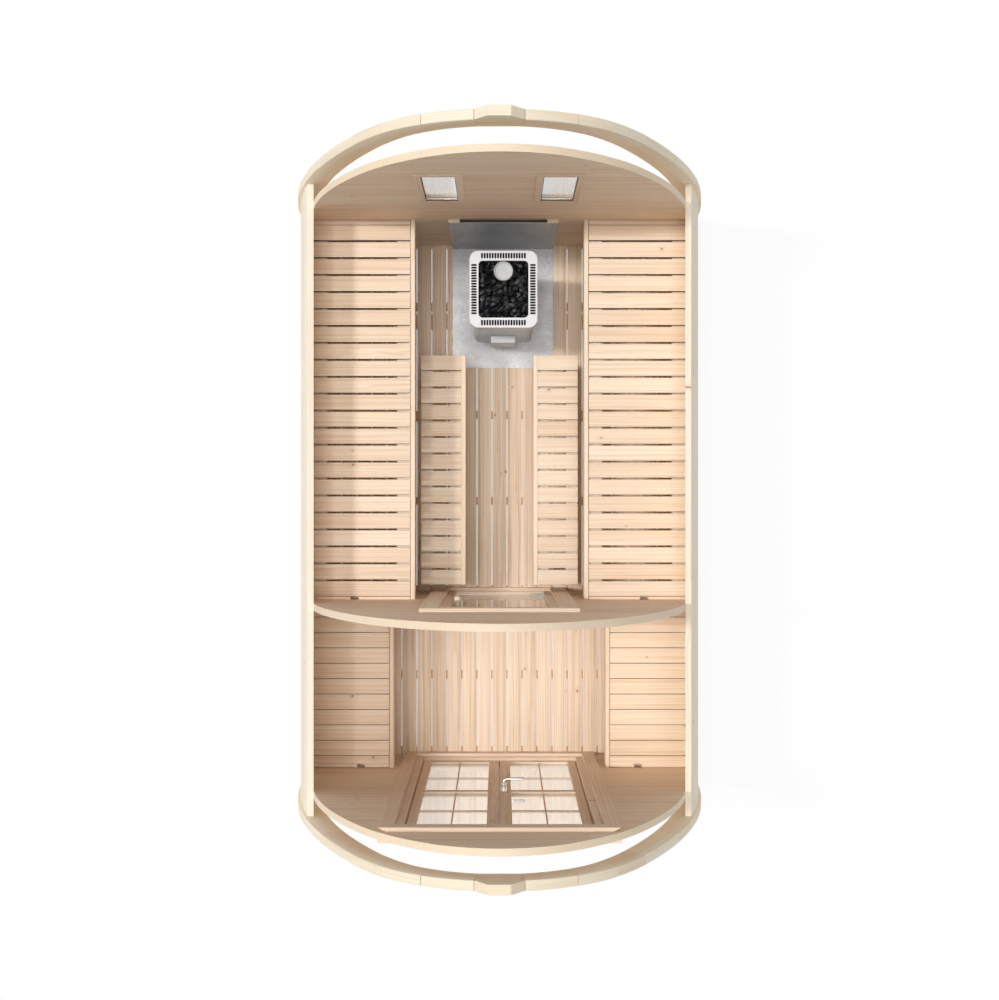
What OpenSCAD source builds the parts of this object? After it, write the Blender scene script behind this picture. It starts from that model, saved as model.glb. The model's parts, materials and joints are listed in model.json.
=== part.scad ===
// Sauna pod with its roof covering left off: curved boarded side walls between two
// laminated hoops, a hot room with two tiers of slatted benches, a heater with its
// shield, and a changing room behind a glazed double door.
// X runs across, Y runs from the entrance (-Y) to the hot room (+Y), Z is up from the ground.

/* [Shell] */
// Clear length between the front and rear walls
room_l = 3166; // [2600:1:4200]
// Height of the floor's top face above the ground
floor_h = 130; // [120:1:220]
// Thickness of the front wall and the rear wall
end_wall_t = 36; // [24:1:60]
// Thickness of the curved side walls
side_wall_t = 31; // [20:1:50]
// Height of the side walls' cut top above the floor
side_wall_h = 1142; // [1000:1:1250]
// Distance that the side walls stand in from the hoops' outer edge
hoop_overhang = 17; // [5:1:40]
// Width of one board of the side walls
wall_board_w = 96; // [70:1:140]
// Depth of the V joint between the side walls' boards
wall_joint_d = 4; // [1:0.5:8]

/* [Hoops] */
// Height of the hoops' outer curve above the floor, at the ridge
hoop_top_h = 2483; // [2400:1:2600]
// Radius of the hoops' crown
hoop_r1 = 725; // [600:1:800]
// Angle of the crown on each side of the ridge
hoop_a1 = 50.5; // [45:0.5:55]
// Radius of the hoops' shoulder
hoop_r2 = 1440; // [1200:1:1800]
// Angle of the shoulder
hoop_a2 = 10.5; // [6:0.5:16]
// Radius of the hoops' flank
hoop_r3 = 3958; // [3600:1:4400]
// Width of the hoops' boards, across the curve
hoop_w = 125; // [90:1:160]
// Thickness of the hoops along the pod
hoop_t = 48; // [30:1:70]
// Distance from the end walls' outer faces to the hoops
hoop_gap = 98; // [60:1:200]
// Joint between two boards of a hoop
hoop_joint = 0.6; // [0.4:0.1:2]
// Number of boards in the crown of a hoop, on each side of the ridge block
crown_boards = 2; // [1:1:4]
// Number of boards in the flank of a hoop, on each side
flank_boards = 4; // [2:1:6]
// Half width of the ridge block at its foot
ridge_half_w = 115; // [80:1:150]
// Half width of the ridge block's flat top
ridge_top_half_w = 52; // [30:1:75]
// Height of the ridge block's top above the hoops' outer curve
ridge_rise = 62; // [30:1:100]

/* [Roof line of the end walls] */
// Height of the end walls' crown above the floor
crown_h = 2434; // [2390:1:2450]
// Radius of the roof line's crown
crown_r1 = 590; // [540:1:640]
// Angle of the roof line's crown on each side of the ridge
crown_a1 = 34; // [30:0.5:38]
// Radius of the roof line's shoulder
crown_r2 = 1210; // [1100:1:1300]
// Angle of the roof line's shoulder
crown_a2 = 23.5; // [20:0.5:27]

/* [Floor] */
// Width of a floor board
floor_board_w = 87; // [60:0.5:140]
// Gap between floor boards
floor_gap = 6.5; // [3:0.5:12]
// Thickness of the floor boards
floor_board_t = 26; // [18:1:35]
// Width of a joist
joist_w = 48; // [38:1:80]
// Depth of a joist
joist_d = 60; // [40:1:80]
// Width of the half joist against the front wall
half_joist_w = 40; // [20:1:50]
// Width of a skid, the beams that lie on the ground
skid_w = 70; // [45:1:84]
// Number of floor boards from the middle board to an outer skid
skid_step = 8; // [4:1:10]
// Width of the double joists, under the partition and under the heater
double_joist_w = 90; // [80:1:160]
// Distance from the middle of the pod to the first hot room joist, towards the partition
joist_1_y = 5; // [-100:1:200]
// Distance from the middle of the pod to the second hot room joist
joist_2_y = 532; // [400:1:700]
// Distance from the middle of the pod to the heater's double joist
joist_3_y = 1115; // [900:1:1130]
// Distance from the middle of the pod to the joist behind it
joist_4_y = 1207; // [1190:1:1500]
// Number of joist bays under the changing room
joist_bays_front = 2; // [1:1:4]

/* [Partition] */
// Distance from the middle of the pod to the partition's hot-room face
partition_y = 562; // [400:1:800]
// Thickness of the partition
partition_t = 37; // [24:1:60]

/* [Front door] */
// Clear width between the jambs
door_w = 936; // [840:1:960]
// Clear height from the floor to the underside of the frame's head
door_h = 1974; // [1850:1:1990]
// Width of the frame's jambs, seen from inside
door_jamb_w = 40; // [30:1:60]
// Width of the frame's head and threshold, seen from inside
door_frame_w = 48; // [30:1:60]
// Depth of the frame along the pod
door_frame_d = 60; // [50:1:80]
// Height of both thresholds' top above the floor
threshold_h = 96; // [70:1:130]
// Thickness of the leaves
leaf_t = 40; // [30:1:48]
// Clearance round the leaves
leaf_gap = 6; // [5:0.5:10]
// Width of a leaf's stile on the hinge side
leaf_stile_w = 45; // [35:1:90]
// Width of a leaf's stile at the meeting line
leaf_meeting_w = 61; // [40:1:90]
// Height of a leaf's top rail
leaf_top_rail = 76; // [50:1:120]
// Height of a leaf's bottom rail
leaf_bottom_rail = 38; // [30:1:200]
// Thickness of the leaves' glazing
leaf_glass_t = 14; // [4:1:24]
// Height of the middle rail's top above the floor
mid_rail_h = 1048; // [900:1:1200]
// Width of the middle rail
mid_rail_w = 50; // [30:1:90]
// Height of the lower glazing bar's middle above the floor
low_bar_h = 600; // [450:1:750]
// Height of the upper glazing bar's middle above the floor
high_bar_h = 1485; // [1350:1:1600]
// Width of the glazing bars
bar_w = 8; // [6:1:25]
// Depth of the glazing bars
bar_d = 22; // [20:1:38]
// Radius of the hinges' knuckles
hinge_r = 6; // [4:0.5:8]
// Distance from the leaves' outer face to the hinges' axis
hinge_off = 8; // [7:0.5:12]
// Thickness of the hinges' plates
hinge_plate_t = 3; // [2:0.5:4]
// Width of the hinges' plates
hinge_plate_w = 30; // [20:1:36]
// Height of one knuckle of a hinge
knuckle_h = 45; // [30:1:60]
// Distance from the leaves' ends to the end hinges
hinge_end = 200; // [120:1:350]
// Distance from the leaf's edge to the middle of the handle
handle_in = 21; // [19:1:40]
// Height of the lever above the floor
lever_h = 930; // [900:1:1100]
// Radius of the lever
lever_r = 9; // [7:0.5:12]
// Length of the lever
lever_l = 118; // [90:1:140]
// Distance that the lever stands out from the leaf
lever_out = 56; // [40:1:65]
// Width of the handle's plate
plate_w = 36; // [30:1:50]
// Height of the handle's plate
plate_h = 240; // [150:1:280]
// Distance from the foot of the handle's plate to the lever
plate_foot = 100; // [60:1:140]
// Thickness of the handle's plate
plate_t = 8; // [4:1:12]

/* [Sauna door] */
// Clear width between the jambs
sauna_door_w = 540; // [500:1:640]
// Clear height from the floor to the underside of the frame's head
sauna_door_h = 1622; // [1550:1:1750]
// Width of the frame's jambs and head
sauna_frame_w = 40; // [25:1:60]
// Thickness of the glass leaf
sauna_glass_t = 8; // [6:1:12]
// Clearance round the glass leaf
sauna_gap = 10; // [9:0.5:14]
// Distance from the partition's hot-room face to the glass
sauna_glass_in = 18; // [12:1:38]
// Diameter of the door's round knobs
knob_d = 40; // [30:1:55]
// Height of the knobs above the floor
knob_h = 1050; // [900:1:1150]
// Distance from the glass's edge to the middle of the knobs
knob_in = 30; // [26:1:60]
// Length of the neck between a knob and the glass
knob_neck = 16; // [8:1:25]
// Width of the clamps that hold the glass
clamp_w = 75; // [40:1:90]
// Depth of the clamps' plates on the jamb
clamp_plate_d = 27; // [15:1:30]
// Thickness of the clamps
clamp_t = 8; // [5:1:12]
// Radius of the clamps' knuckles
clamp_r = 5; // [4:0.5:6]
// Distance from the glass's foot to the lower clamp
clamp_low = 64; // [50:1:250]
// Distance from the glass's top to the upper clamp
clamp_high = 175; // [100:1:300]

/* [Casings] */
// Thickness of the casings round the doors
casing_t = 20; // [12:1:24]
// Width of the casings round the front door
front_casing_w = 76; // [50:1:100]
// Width of the casings round the sauna door
sauna_casing_w = 95; // [50:1:110]
// Distance that the ends of the front door's head casing are bevelled back towards the wall
casing_bevel = 37; // [0:1:60]
// Open joint at the casings' mitres and in the door frames
trim_joint = 0.5; // [0.3:0.1:2]

/* [Rear windows] */
// Distance from the middle of the pod to the middle of a window
window_x = 302; // [260:1:380]
// Width of a window's pane
window_w = 171; // [120:1:240]
// Height of a window's pane
window_h = 567; // [400:1:600]
// Height of a pane's foot above the floor
window_sill_h = 1376; // [1200:1:1450]
// Width of the trim round a window
window_trim_w = 36; // [20:1:50]
// Thickness of the trim round a window
window_trim_t = 9; // [8:1:25]
// Width of a window's sash, which the trim covers
window_sash_w = 12; // [8:1:30]
// Distance from the wall's inner face to the pane
pane_in = 2; // [1:1:20]
// Thickness of the panes
pane_t = 6; // [4:1:12]

/* [Benches] */
// Height of the upper benches above the floor
upper_h = 823; // [760:1:900]
// Distance from the middle of the pod to the upper benches' front edge
upper_x = 478; // [440:1:600]
// Height of the lower benches above the floor
lower_h = 450; // [380:1:480]
// Distance from the middle of the pod to the lower benches' front edge
lower_x = 200; // [150:1:260]
// Gap between the lower benches and the upper benches' fascias
lower_gap = 16; // [8:1:40]
// Distance from the partition to the lower benches
lower_start = 63; // [50:1:150]
// Length of the lower benches
lower_l = 1353; // [900:1:1400]
// Height of the changing room's benches above the floor
porch_h = 451; // [380:1:500]
// Distance from the middle of the pod to the changing room benches' front edge
porch_x = 626; // [600:1:700]
// Thickness of the slats
slat_t = 28; // [18:1:40]
// Width of the upper and lower benches' slats
slat_w = 85; // [60:1:100]
// Gap between the upper and lower benches' slats
slat_gap = 11; // [6:1:20]
// Width of the changing room benches' slats
porch_slat_w = 88; // [60:1:100]
// Gap between the changing room benches' slats
porch_slat_gap = 3; // [2:0.5:10]
// Thickness of the fascia boards
fascia_t = 27; // [18:1:40]
// Height of the fascia boards
fascia_h = 110; // [80:1:140]
// Width of the joint between the fascias and the slats' ends, not at the lower benches
fascia_joint = 2.5; // [1:0.5:5]
// Width of the bearers under the upper benches' slats
upper_bearer_w = 78; // [45:1:90]
// Distance from the upper slats' ends to the bearer beside the wall
upper_bearer_in = 23; // [5:1:60]
// Width of the bearers under the lower benches' slats
lower_bearer_w = 68; // [45:1:90]
// Width of the bearers under the changing room's slats
porch_bearer_w = 72; // [45:1:90]
// Depth of the bearers under the slats
bearer_d = 45; // [30:1:60]
// Clearance between the slats and the walls that they end at
slat_end_gap = 6; // [3:1:15]
// Distance from the last upper slat to the rear wall, filled by a strip
slat_rear_gap = 30; // [15:1:50]
// Distance from the first upper slat to the partition, filled by a strip
slat_front_gap = 18; // [15:1:50]
// Width of the joints beside those strips
strip_joint = 2.5; // [1:0.5:5]
// Clearance between the changing room's slats and the walls
porch_end_gap = 3; // [1:1:15]
// Distance from the middle of the pod to the notches in the benches' ends
notch_x = 818; // [750:1:880]
// Width of the notches
notch_w = 45; // [30:1:60]
// Distance from the front wall to the end of the changing room bench's notch
notch_d = 24; // [10:1:30]
// Height of the ledgers under the bearers
ledger_d = 45; // [30:1:60]
// Thickness of the ledgers
ledger_t = 28; // [20:1:40]
// Depth of the bench legs along the pod
leg_t = 45; // [35:1:60]
// Distance from the lower benches' ends to the middle of their legs
leg_in = 90; // [50:1:200]

/* [Heater corner] */
// Distance of the heater's middle from the pod's middle line
heater_x = 22; // [-40:1:60]
// Width of the heater's rim
heater_w = 380; // [320:1:420]
// Depth of the heater's rim along the pod
heater_l = 430; // [360:1:460]
// Height of the heater above the floor plate
heater_h = 895; // [700:1:950]
// Distance from the rear wall to the heater's rim
heater_back = 187; // [120:1:260]
// Distance that the rim stands out from the heater's body
rim_overhang = 15; // [5:1:25]
// Corner radius of the heater's rim
rim_r = 48; // [30:1:70]
// Height of the heater's rim
rim_t = 30; // [15:1:50]
// Width of the rim beside the stones
rim_w = 50; // [42:1:60]
// Width of the rim in front of the stones and behind them
rim_end_w = 55; // [42:1:70]
// Corner radius of the opening round the stones
hole_r = 25; // [15:1:40]
// Thickness of the heater's sheet
shell_t = 3; // [1:0.5:5]
// Depth of the bed of stones under the rim
stone_d = 250; // [150:1:400]
// Distance from the rim's top to the bed of stones
stone_drop = 12; // [5:1:20]
// Length of the rim's slots
slot_l = 32; // [15:1:36]
// Width of the rim's slots
slot_w = 9.5; // [5:0.5:10]
// Pitch of the rim's slots
slot_pitch = 15; // [12:1:20]
// Slots on the rim's front and on its back
slots_front = 17; // [9:2:17]
// Slots on each side of the rim
slots_side = 19; // [9:2:19]
// Width of the shield and of the floor plate
shield_w = 624; // [560:1:800]
// Height of the shield above the floor plate
shield_h = 846; // [600:1:1100]
// Thickness of the shield and of the floor plate
sheet_t = 2; // [1:0.5:4]
// Distance that the battens hold the shield off the wall
batten_t = 20; // [15:1:40]
// Width of the battens
batten_w = 66; // [30:1:90]
// Length of the floor plate along the pod
plate_l = 743; // [700:1:900]
// Diameter of the water cup on the stones
cup_d = 106; // [80:1:140]
// Height of the water cup
cup_h = 60; // [40:1:90]
// Depth of the water in the cup's bowl
bowl_d = 12; // [6:1:40]
// Thickness of the cup's wall
cup_t = 4; // [2:1:8]
// Distance from the heater's back to the middle of the cup
cup_back = 120; // [100:1:250]
// Width of the control box
box_w = 145; // [100:1:200]
// Depth of the control box
box_d = 44; // [30:1:60]
// Height of the control box
box_h = 259; // [150:1:300]
// Height of the control box's foot above the floor
box_foot = 116; // [60:1:200]

/* [Hidden] */

// Smoothness of the drawn curves, and of the big rings of the hoops and side walls
$fn = 96;
ring_fn = 720;
// Small overlap for cuts
eps = 1;
// Running gap between the two knuckles of a hinge
knuckle_gap = 0.3;

pine = "burlywood";
pale_pine = "wheat";
steel = "lightgrey";
dark_steel = "dimgrey";
clear_glass = [0.75, 0.85, 0.88, 0.4];

// Planes along the pod
wall_y = room_l / 2;
wall_out_y = wall_y + end_wall_t;
hoop_y = wall_out_y + hoop_gap;
hoop_out_y = hoop_y + hoop_t;
partition_front_y = -partition_y - partition_t;

// The hoops' curve: three tangent arcs on each side, then straight down
hoop_c1 = [0, floor_h + hoop_top_h - hoop_r1];
hoop_c2 = next_centre(hoop_c1, hoop_r1, hoop_r2, hoop_a1);
hoop_c3 = next_centre(hoop_c2, hoop_r2, hoop_r3, hoop_a1 + hoop_a2);
wall_out_r = hoop_r3 - hoop_overhang;
wall_in_r = wall_out_r - side_wall_t;
wall_top_z = floor_h + side_wall_h;
wall_top_a = acos((wall_top_z - hoop_c3[1]) / wall_out_r);

// The roof line: two chosen arcs, and a third that meets the side wall's inner top corner
crown_c1 = [0, floor_h + crown_h - crown_r1];
crown_c2 = next_centre(crown_c1, crown_r1, crown_r2, crown_a1);
crown_a12 = crown_a1 + crown_a2;
crown_p = polar(crown_c2, crown_r2, crown_a12);
eave = [wall_x(wall_top_z), wall_top_z];
crown_d = eave - crown_p;
crown_n = polar([0, 0], 1, crown_a12);
crown_r3 = -(crown_d * crown_d) / (2 * (crown_d * crown_n));
crown_c3 = crown_p - crown_r3 * crown_n;
eave_a = atan2(eave[0] - crown_c3[0], eave[1] - crown_c3[1]);

function polar(c, r, a) = [c[0] + r * sin(a), c[1] + r * cos(a)];
function next_centre(c, r, r_next, a) = polar(c, r - r_next, a);
function arc(c, r, a0, a1, n) = [for (i = [0 : n]) polar(c, r, a0 + (a1 - a0) * i / n)];
function flip(points) = [for (i = [len(points) - 1 : -1 : 0]) [-points[i][0], points[i][1]]];
// Half width between the side walls' inner faces at a height above the ground
function wall_x(z) = z > hoop_c3[1]
    ? hoop_c3[0] + sqrt(wall_in_r * wall_in_r - pow(z - hoop_c3[1], 2))
    : hoop_c3[0] + wall_in_r;

// Angle at which an arc of the flank meets the ground, or turns straight down above it
function foot_a(r) = hoop_c3[1] > 0 ? 90 : acos(-hoop_c3[1] / r);

// Half of an end wall's outline, from the ridge to the ground
half_outline = concat(
    arc(crown_c1, crown_r1, 0, crown_a1, 16),
    arc(crown_c2, crown_r2, crown_a1 + 1, crown_a12, 16),
    arc(crown_c3, crown_r3, crown_a12 + 1, eave_a, 16),
    arc(hoop_c3, wall_in_r, acos((wall_top_z - hoop_c3[1]) / wall_in_r) + 1, foot_a(wall_in_r), 16),
    hoop_c3[1] > 0 ? [[wall_x(0), 0]] : []
);

// A box from its low corner to its high corner
module block(low, high) {
    translate(low) cube(high - low);
}

// A flat shape in the XZ plane, made solid from y0 to y1
module upright(y0, y1) {
    translate([0, y1, 0]) rotate([90, 0, 0]) linear_extrude(y1 - y0) children();
}

// Part of a ring in the XZ plane, with angles from straight up towards +X
module ring(c, r_in, r_out, a0, a1, y0, y1) {
    translate([c[0], y1, c[1]])
        rotate([90, 0, 0])
            rotate([0, 0, 90 - a1])
                rotate_extrude(angle = a1 - a0, $fn = ring_fn)
                    translate([r_in, 0]) square([r_out - r_in, y1 - y0]);
}

// The straight foot of a flank, from x0 to x1 out of its arcs' middle, where the arcs end above the ground
module flank_foot(x0, x1, y0, y1) {
    if (hoop_c3[1] > 0)
        block([hoop_c3[0] + x0, y0, 0], [hoop_c3[0] + x1, y1, hoop_c3[1]]);
}

// All that lies under the ground
module under_ground() {
    block([-hoop_r3, -hoop_out_y - eps, -hoop_r3], [hoop_r3, hoop_out_y + eps, 0]);
}

// The same thing on the left and on the right
module both_sides() {
    children();
    mirror([1, 0, 0]) children();
}

// ---- Floor ----

board_pitch = floor_board_w + floor_gap;
joist_top = floor_h - floor_board_t;
skid_top = joist_top - joist_d;

module skids() {
    color(pine)
        for (i = [-1, 0, 1])
            translate([i * skid_step * board_pitch - skid_w / 2, -wall_y, 0])
                cube([skid_w, 2 * wall_y, skid_top]);
}

// Joists carry both rooms: a double one under the partition, half a one at the front wall
partition_mid = -partition_y - partition_t / 2;
front_wall_mid = -wall_y - end_wall_t / 2;
single_joists_y = concat(
    [for (i = [1 : joist_bays_front - 1]) front_wall_mid + i * (partition_mid - front_wall_mid) / joist_bays_front],
    [-joist_1_y, joist_2_y, joist_4_y]
);

module joist(y, w) {
    translate([-wall_x(joist_top), y, skid_top]) cube([2 * wall_x(joist_top), w, joist_d]);
}

module floor_joists() {
    color(pine) {
        joist(-wall_y, half_joist_w);
        for (y = single_joists_y) joist(y - joist_w / 2, joist_w);
        for (y = [partition_mid, joist_3_y]) joist(y - double_joist_w / 2, double_joist_w);
    }
}

floor_boards_each_side = floor((wall_x(floor_h) - floor_board_w / 2) / board_pitch);
// The board beside each wall is cut to the width that is left
cut_board_x0 = (floor_boards_each_side + 1) * board_pitch - floor_board_w / 2;
cut_board_x1 = wall_x(joist_top) - floor_gap;

module floor_boards(y0, y1) {
    color(pine) {
        for (i = [-floor_boards_each_side : floor_boards_each_side])
            translate([i * board_pitch - floor_board_w / 2, y0, joist_top])
                cube([floor_board_w, y1 - y0, floor_board_t]);
        both_sides() block([cut_board_x0, y0, joist_top], [cut_board_x1, y1, floor_h]);
    }
}

module hot_room_floor() {
    floor_boards(-partition_y, wall_y);
}

module changing_room_floor() {
    floor_boards(-wall_y, partition_front_y);
}

// ---- Walls ----

wall_boards = floor((90 - wall_top_a) * PI / 180 * wall_out_r / wall_board_w);

// A shallow V cut along the pod in the outer face of the side wall
module wall_joint(a) {
    translate([hoop_c3[0] + wall_out_r * sin(a), 0, hoop_c3[1] + wall_out_r * cos(a)])
        rotate([0, 45 - (90 - a), 0])
            cube([wall_joint_d * sqrt(2), 2 * hoop_y + 2 * eps, wall_joint_d * sqrt(2)], center = true);
}

module right_side_wall() {
    color(pine)
        difference() {
            union() {
                ring(hoop_c3, wall_in_r, wall_out_r, wall_top_a - 1, 90, -hoop_y, hoop_y);
                flank_foot(wall_in_r, wall_out_r, -hoop_y, hoop_y);
            }
            block([0, -hoop_y - eps, wall_top_z], [hoop_r3, hoop_y + eps, wall_top_z + hoop_r1]);
            under_ground();
            for (i = [1 : wall_boards])
                wall_joint(90 - i * wall_board_w / wall_out_r * 180 / PI);
        }
}

module left_side_wall() {
    mirror([1, 0, 0]) right_side_wall();
}

module end_outline() {
    polygon(concat(half_outline, flip(half_outline)));
}

module end_wall(y0, y1) {
    upright(y0, y1) end_outline();
}

window_top_z = floor_h + window_sill_h + window_h;

module window_hole(y0, y1, margin) {
    both_sides()
        block([window_x - window_w / 2 - margin, y0, floor_h + window_sill_h - margin],
              [window_x + window_w / 2 + margin, y1, window_top_z + margin]);
}

module rear_wall() {
    color(pine)
        difference() {
            end_wall(wall_y, wall_out_y);
            window_hole(wall_y - eps, wall_out_y + eps, window_sash_w);
        }
}

// A wall with a doorway is three pieces: one beside the doorway on each side, and the head over it
module wall_beside(y0, y1, half_w, z0) {
    intersection() {
        end_wall(y0, y1);
        block([half_w, y0 - eps, z0], [hoop_r3, y1 + eps, floor_h + hoop_top_h]);
    }
}

module wall_over(y0, y1, half_w, z) {
    intersection() {
        end_wall(y0, y1);
        block([-half_w, y0 - eps, z], [half_w, y1 + eps, floor_h + hoop_top_h]);
    }
}

front_hole_half_w = door_w / 2 + door_jamb_w;
front_hole_z = floor_h + door_h + door_frame_w;
sauna_hole_half_w = sauna_door_w / 2 + sauna_frame_w;
sauna_hole_z = floor_h + sauna_door_h + sauna_frame_w;
threshold_z = floor_h + threshold_h;

module front_wall_right() {
    color(pine) wall_beside(-wall_out_y, -wall_y, front_hole_half_w, 0);
}

module front_wall_left() {
    mirror([1, 0, 0]) front_wall_right();
}

module front_wall_head() {
    color(pine) wall_over(-wall_out_y, -wall_y, front_hole_half_w, front_hole_z);
}

module front_wall_sill() {
    color(pine) block([-front_hole_half_w, -wall_out_y, 0],
                      [front_hole_half_w, -wall_y, threshold_z - door_frame_w]);
}

module partition_right() {
    color(pine) wall_beside(partition_front_y, -partition_y, sauna_hole_half_w, joist_top);
}

module partition_left() {
    mirror([1, 0, 0]) partition_right();
}

module partition_head() {
    color(pine) wall_over(partition_front_y, -partition_y, sauna_hole_half_w, sauna_hole_z);
}

module partition_sill() {
    color(pine) block([-sauna_hole_half_w, partition_front_y, joist_top],
                      [sauna_hole_half_w, -partition_y, threshold_z - sauna_frame_w]);
}

// ---- Hoops ----

ridge_a = asin(ridge_half_w / hoop_r1);
flank_a = hoop_a1 + hoop_a2;

// One board of a hoop, shortened at its upper end by the joint
module hoop_board(c, r, a0, a1, y0) {
    ring(c, r - hoop_w, r, a0 + hoop_joint / r * 180 / PI, a1, y0, y0 + hoop_t);
}

module half_hoop(y0) {
    crown_step = (hoop_a1 - ridge_a) / crown_boards;
    for (i = [0 : crown_boards - 1])
        hoop_board(hoop_c1, hoop_r1, ridge_a + i * crown_step, ridge_a + (i + 1) * crown_step, y0);
    hoop_board(hoop_c2, hoop_r2, hoop_a1, flank_a, y0);
    flank_step = (90 - flank_a) / flank_boards;
    for (i = [0 : flank_boards - 2])
        hoop_board(hoop_c3, hoop_r3, flank_a + i * flank_step, flank_a + (i + 1) * flank_step, y0);
    difference() {
        union() {
            hoop_board(hoop_c3, hoop_r3, 90 - flank_step, 90, y0);
            flank_foot(hoop_r3 - hoop_w, hoop_r3, y0, y0 + hoop_t);
        }
        under_ground();
    }
}

module rear_hoop() {
    color(pale_pine) both_sides() half_hoop(hoop_y);
}

module front_hoop() {
    color(pale_pine) both_sides() half_hoop(-hoop_out_y);
}

ridge_foot = polar(hoop_c1, hoop_r1, ridge_a);
ridge_heel = polar(hoop_c1, hoop_r1 - hoop_w, ridge_a);

module ridge_block(y0) {
    color(pale_pine)
        upright(y0, y0 + hoop_t)
            polygon([
                [ridge_top_half_w, floor_h + hoop_top_h + ridge_rise],
                ridge_foot,
                ridge_heel,
                [-ridge_heel[0], ridge_heel[1]],
                [-ridge_foot[0], ridge_foot[1]],
                [-ridge_top_half_w, floor_h + hoop_top_h + ridge_rise]
            ]);
}

module rear_ridge_block() {
    ridge_block(hoop_y);
}

module front_ridge_block() {
    ridge_block(-hoop_out_y);
}

// ---- Rear windows ----

// Four mitred boards round an opening; the foot board may have a width of its own
module mitred_frame(x0, x1, z0, z1, w, foot, y0, y1) {
    for (side = [[x0, -1], [x1, 1]])
        upright(y0, y1)
            polygon([
                [side[0], z0 + trim_joint],
                [side[0], z1 - trim_joint],
                [side[0] + side[1] * w, z1 + w - trim_joint],
                [side[0] + side[1] * w, z0 - foot + trim_joint]
            ]);
    upright(y0, y1) polygon([[x0, z1], [x1, z1], [x1 + w, z1 + w], [x0 - w, z1 + w]]);
    upright(y0, y1) polygon([[x0, z0], [x0 - w, z0 - foot], [x1 + w, z0 - foot], [x1, z0]]);
}

module window_trims() {
    color(pale_pine)
        for (x = [-window_x, window_x])
            mitred_frame(x - window_w / 2, x + window_w / 2, floor_h + window_sill_h, window_top_z,
                         window_trim_w, window_trim_w, wall_y - window_trim_t, wall_y);
}

module window_sashes() {
    color(pale_pine)
        difference() {
            window_hole(wall_y, wall_out_y, window_sash_w);
            window_hole(wall_y - eps, wall_out_y + eps, 0);
        }
}

module window_panes() {
    color(clear_glass)
        window_hole(wall_y + pane_in, wall_y + pane_in + pane_t, 0);
}

// ---- Door frames and casings ----

// A head and a threshold of width w, and two jambs between them, with open joints
module door_frame(half_w, h, jamb_w, w, y0, y1) {
    both_sides()
        block([half_w, y0, threshold_z + trim_joint], [half_w + jamb_w, y1, floor_h + h - trim_joint]);
    for (z = [threshold_z - w, floor_h + h])
        block([-half_w - jamb_w, y0, z], [half_w + jamb_w, y1, z + w]);
}

module front_door_frame() {
    color(pine) door_frame(door_w / 2, door_h, door_jamb_w, door_frame_w, -wall_y - door_frame_d, -wall_y);
}

module sauna_door_frame() {
    color(pine) door_frame(sauna_door_w / 2, sauna_door_h, sauna_frame_w, sauna_frame_w,
                           partition_front_y - casing_t, -partition_y);
}

// Casings round a door's hole, down to the floor
module casing(half_w, z, w, foot, y0, y1) {
    mitred_frame(-half_w, half_w, floor_h + foot, z, w, foot, y0, y1);
}

// What the bevel leaves of a casing on a wall at y_wall, seen from above
module bevel_limit(half_w, y_wall, y_room) {
    linear_extrude(floor_h + hoop_top_h)
        polygon([
            [-half_w, y_room], [-half_w + casing_bevel, y_wall],
            [half_w - casing_bevel, y_wall], [half_w, y_room]
        ]);
}

front_casing_half_w = front_hole_half_w + front_casing_w;

module front_door_casings() {
    color(pale_pine) {
        difference() {
            casing(front_hole_half_w, front_hole_z, front_casing_w, front_casing_w, -wall_y, -wall_y + casing_t);
            difference() {
                block([-front_casing_half_w - eps, -wall_y - eps, front_hole_z],
                      [front_casing_half_w + eps, -wall_y + casing_t + eps, front_hole_z + front_casing_w + eps]);
                bevel_limit(front_casing_half_w, -wall_y, -wall_y + casing_t);
            }
        }
        casing(front_hole_half_w, front_hole_z, front_casing_w, threshold_z - door_frame_w - floor_h,
               -wall_out_y - casing_t, -wall_out_y);
    }
}

module sauna_door_casings() {
    color(pale_pine)
        for (y = [-partition_y, partition_front_y - casing_t])
            casing(sauna_hole_half_w, sauna_hole_z, sauna_casing_w, threshold_z - sauna_frame_w - floor_h,
                   y, y + casing_t);
}

// ---- Front door leaves ----

leaf_out_y = -wall_y - door_frame_d;
leaf_in_y = leaf_out_y + leaf_t;
leaf_x0 = leaf_gap / 2;
leaf_x1 = door_w / 2 - leaf_gap;
leaf_z0 = threshold_z + leaf_gap;
leaf_z1 = floor_h + door_h - leaf_gap;
pane_x0 = leaf_x0 + leaf_meeting_w;
pane_x1 = leaf_x1 - leaf_stile_w;
mid_z1 = floor_h + mid_rail_h;
// The lower pane and the upper pane, each with the height of its glazing bar
pane_z = [
    [leaf_z0 + leaf_bottom_rail, mid_z1 - mid_rail_w, floor_h + low_bar_h],
    [mid_z1, leaf_z1 - leaf_top_rail, floor_h + high_bar_h]
];
bar_x = (pane_x0 + pane_x1) / 2;
glass_y = (leaf_in_y + leaf_out_y) / 2;

// The glazing bars on one face of the glass, from y0 to y1
module glazing_bars(y0, y1) {
    for (p = pane_z) {
        block([pane_x0, y0, p[2] - bar_w / 2], [pane_x1, y1, p[2] + bar_w / 2]);
        block([bar_x - bar_w / 2, y0, p[0]], [bar_x + bar_w / 2, y1, p[1]]);
    }
}

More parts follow.
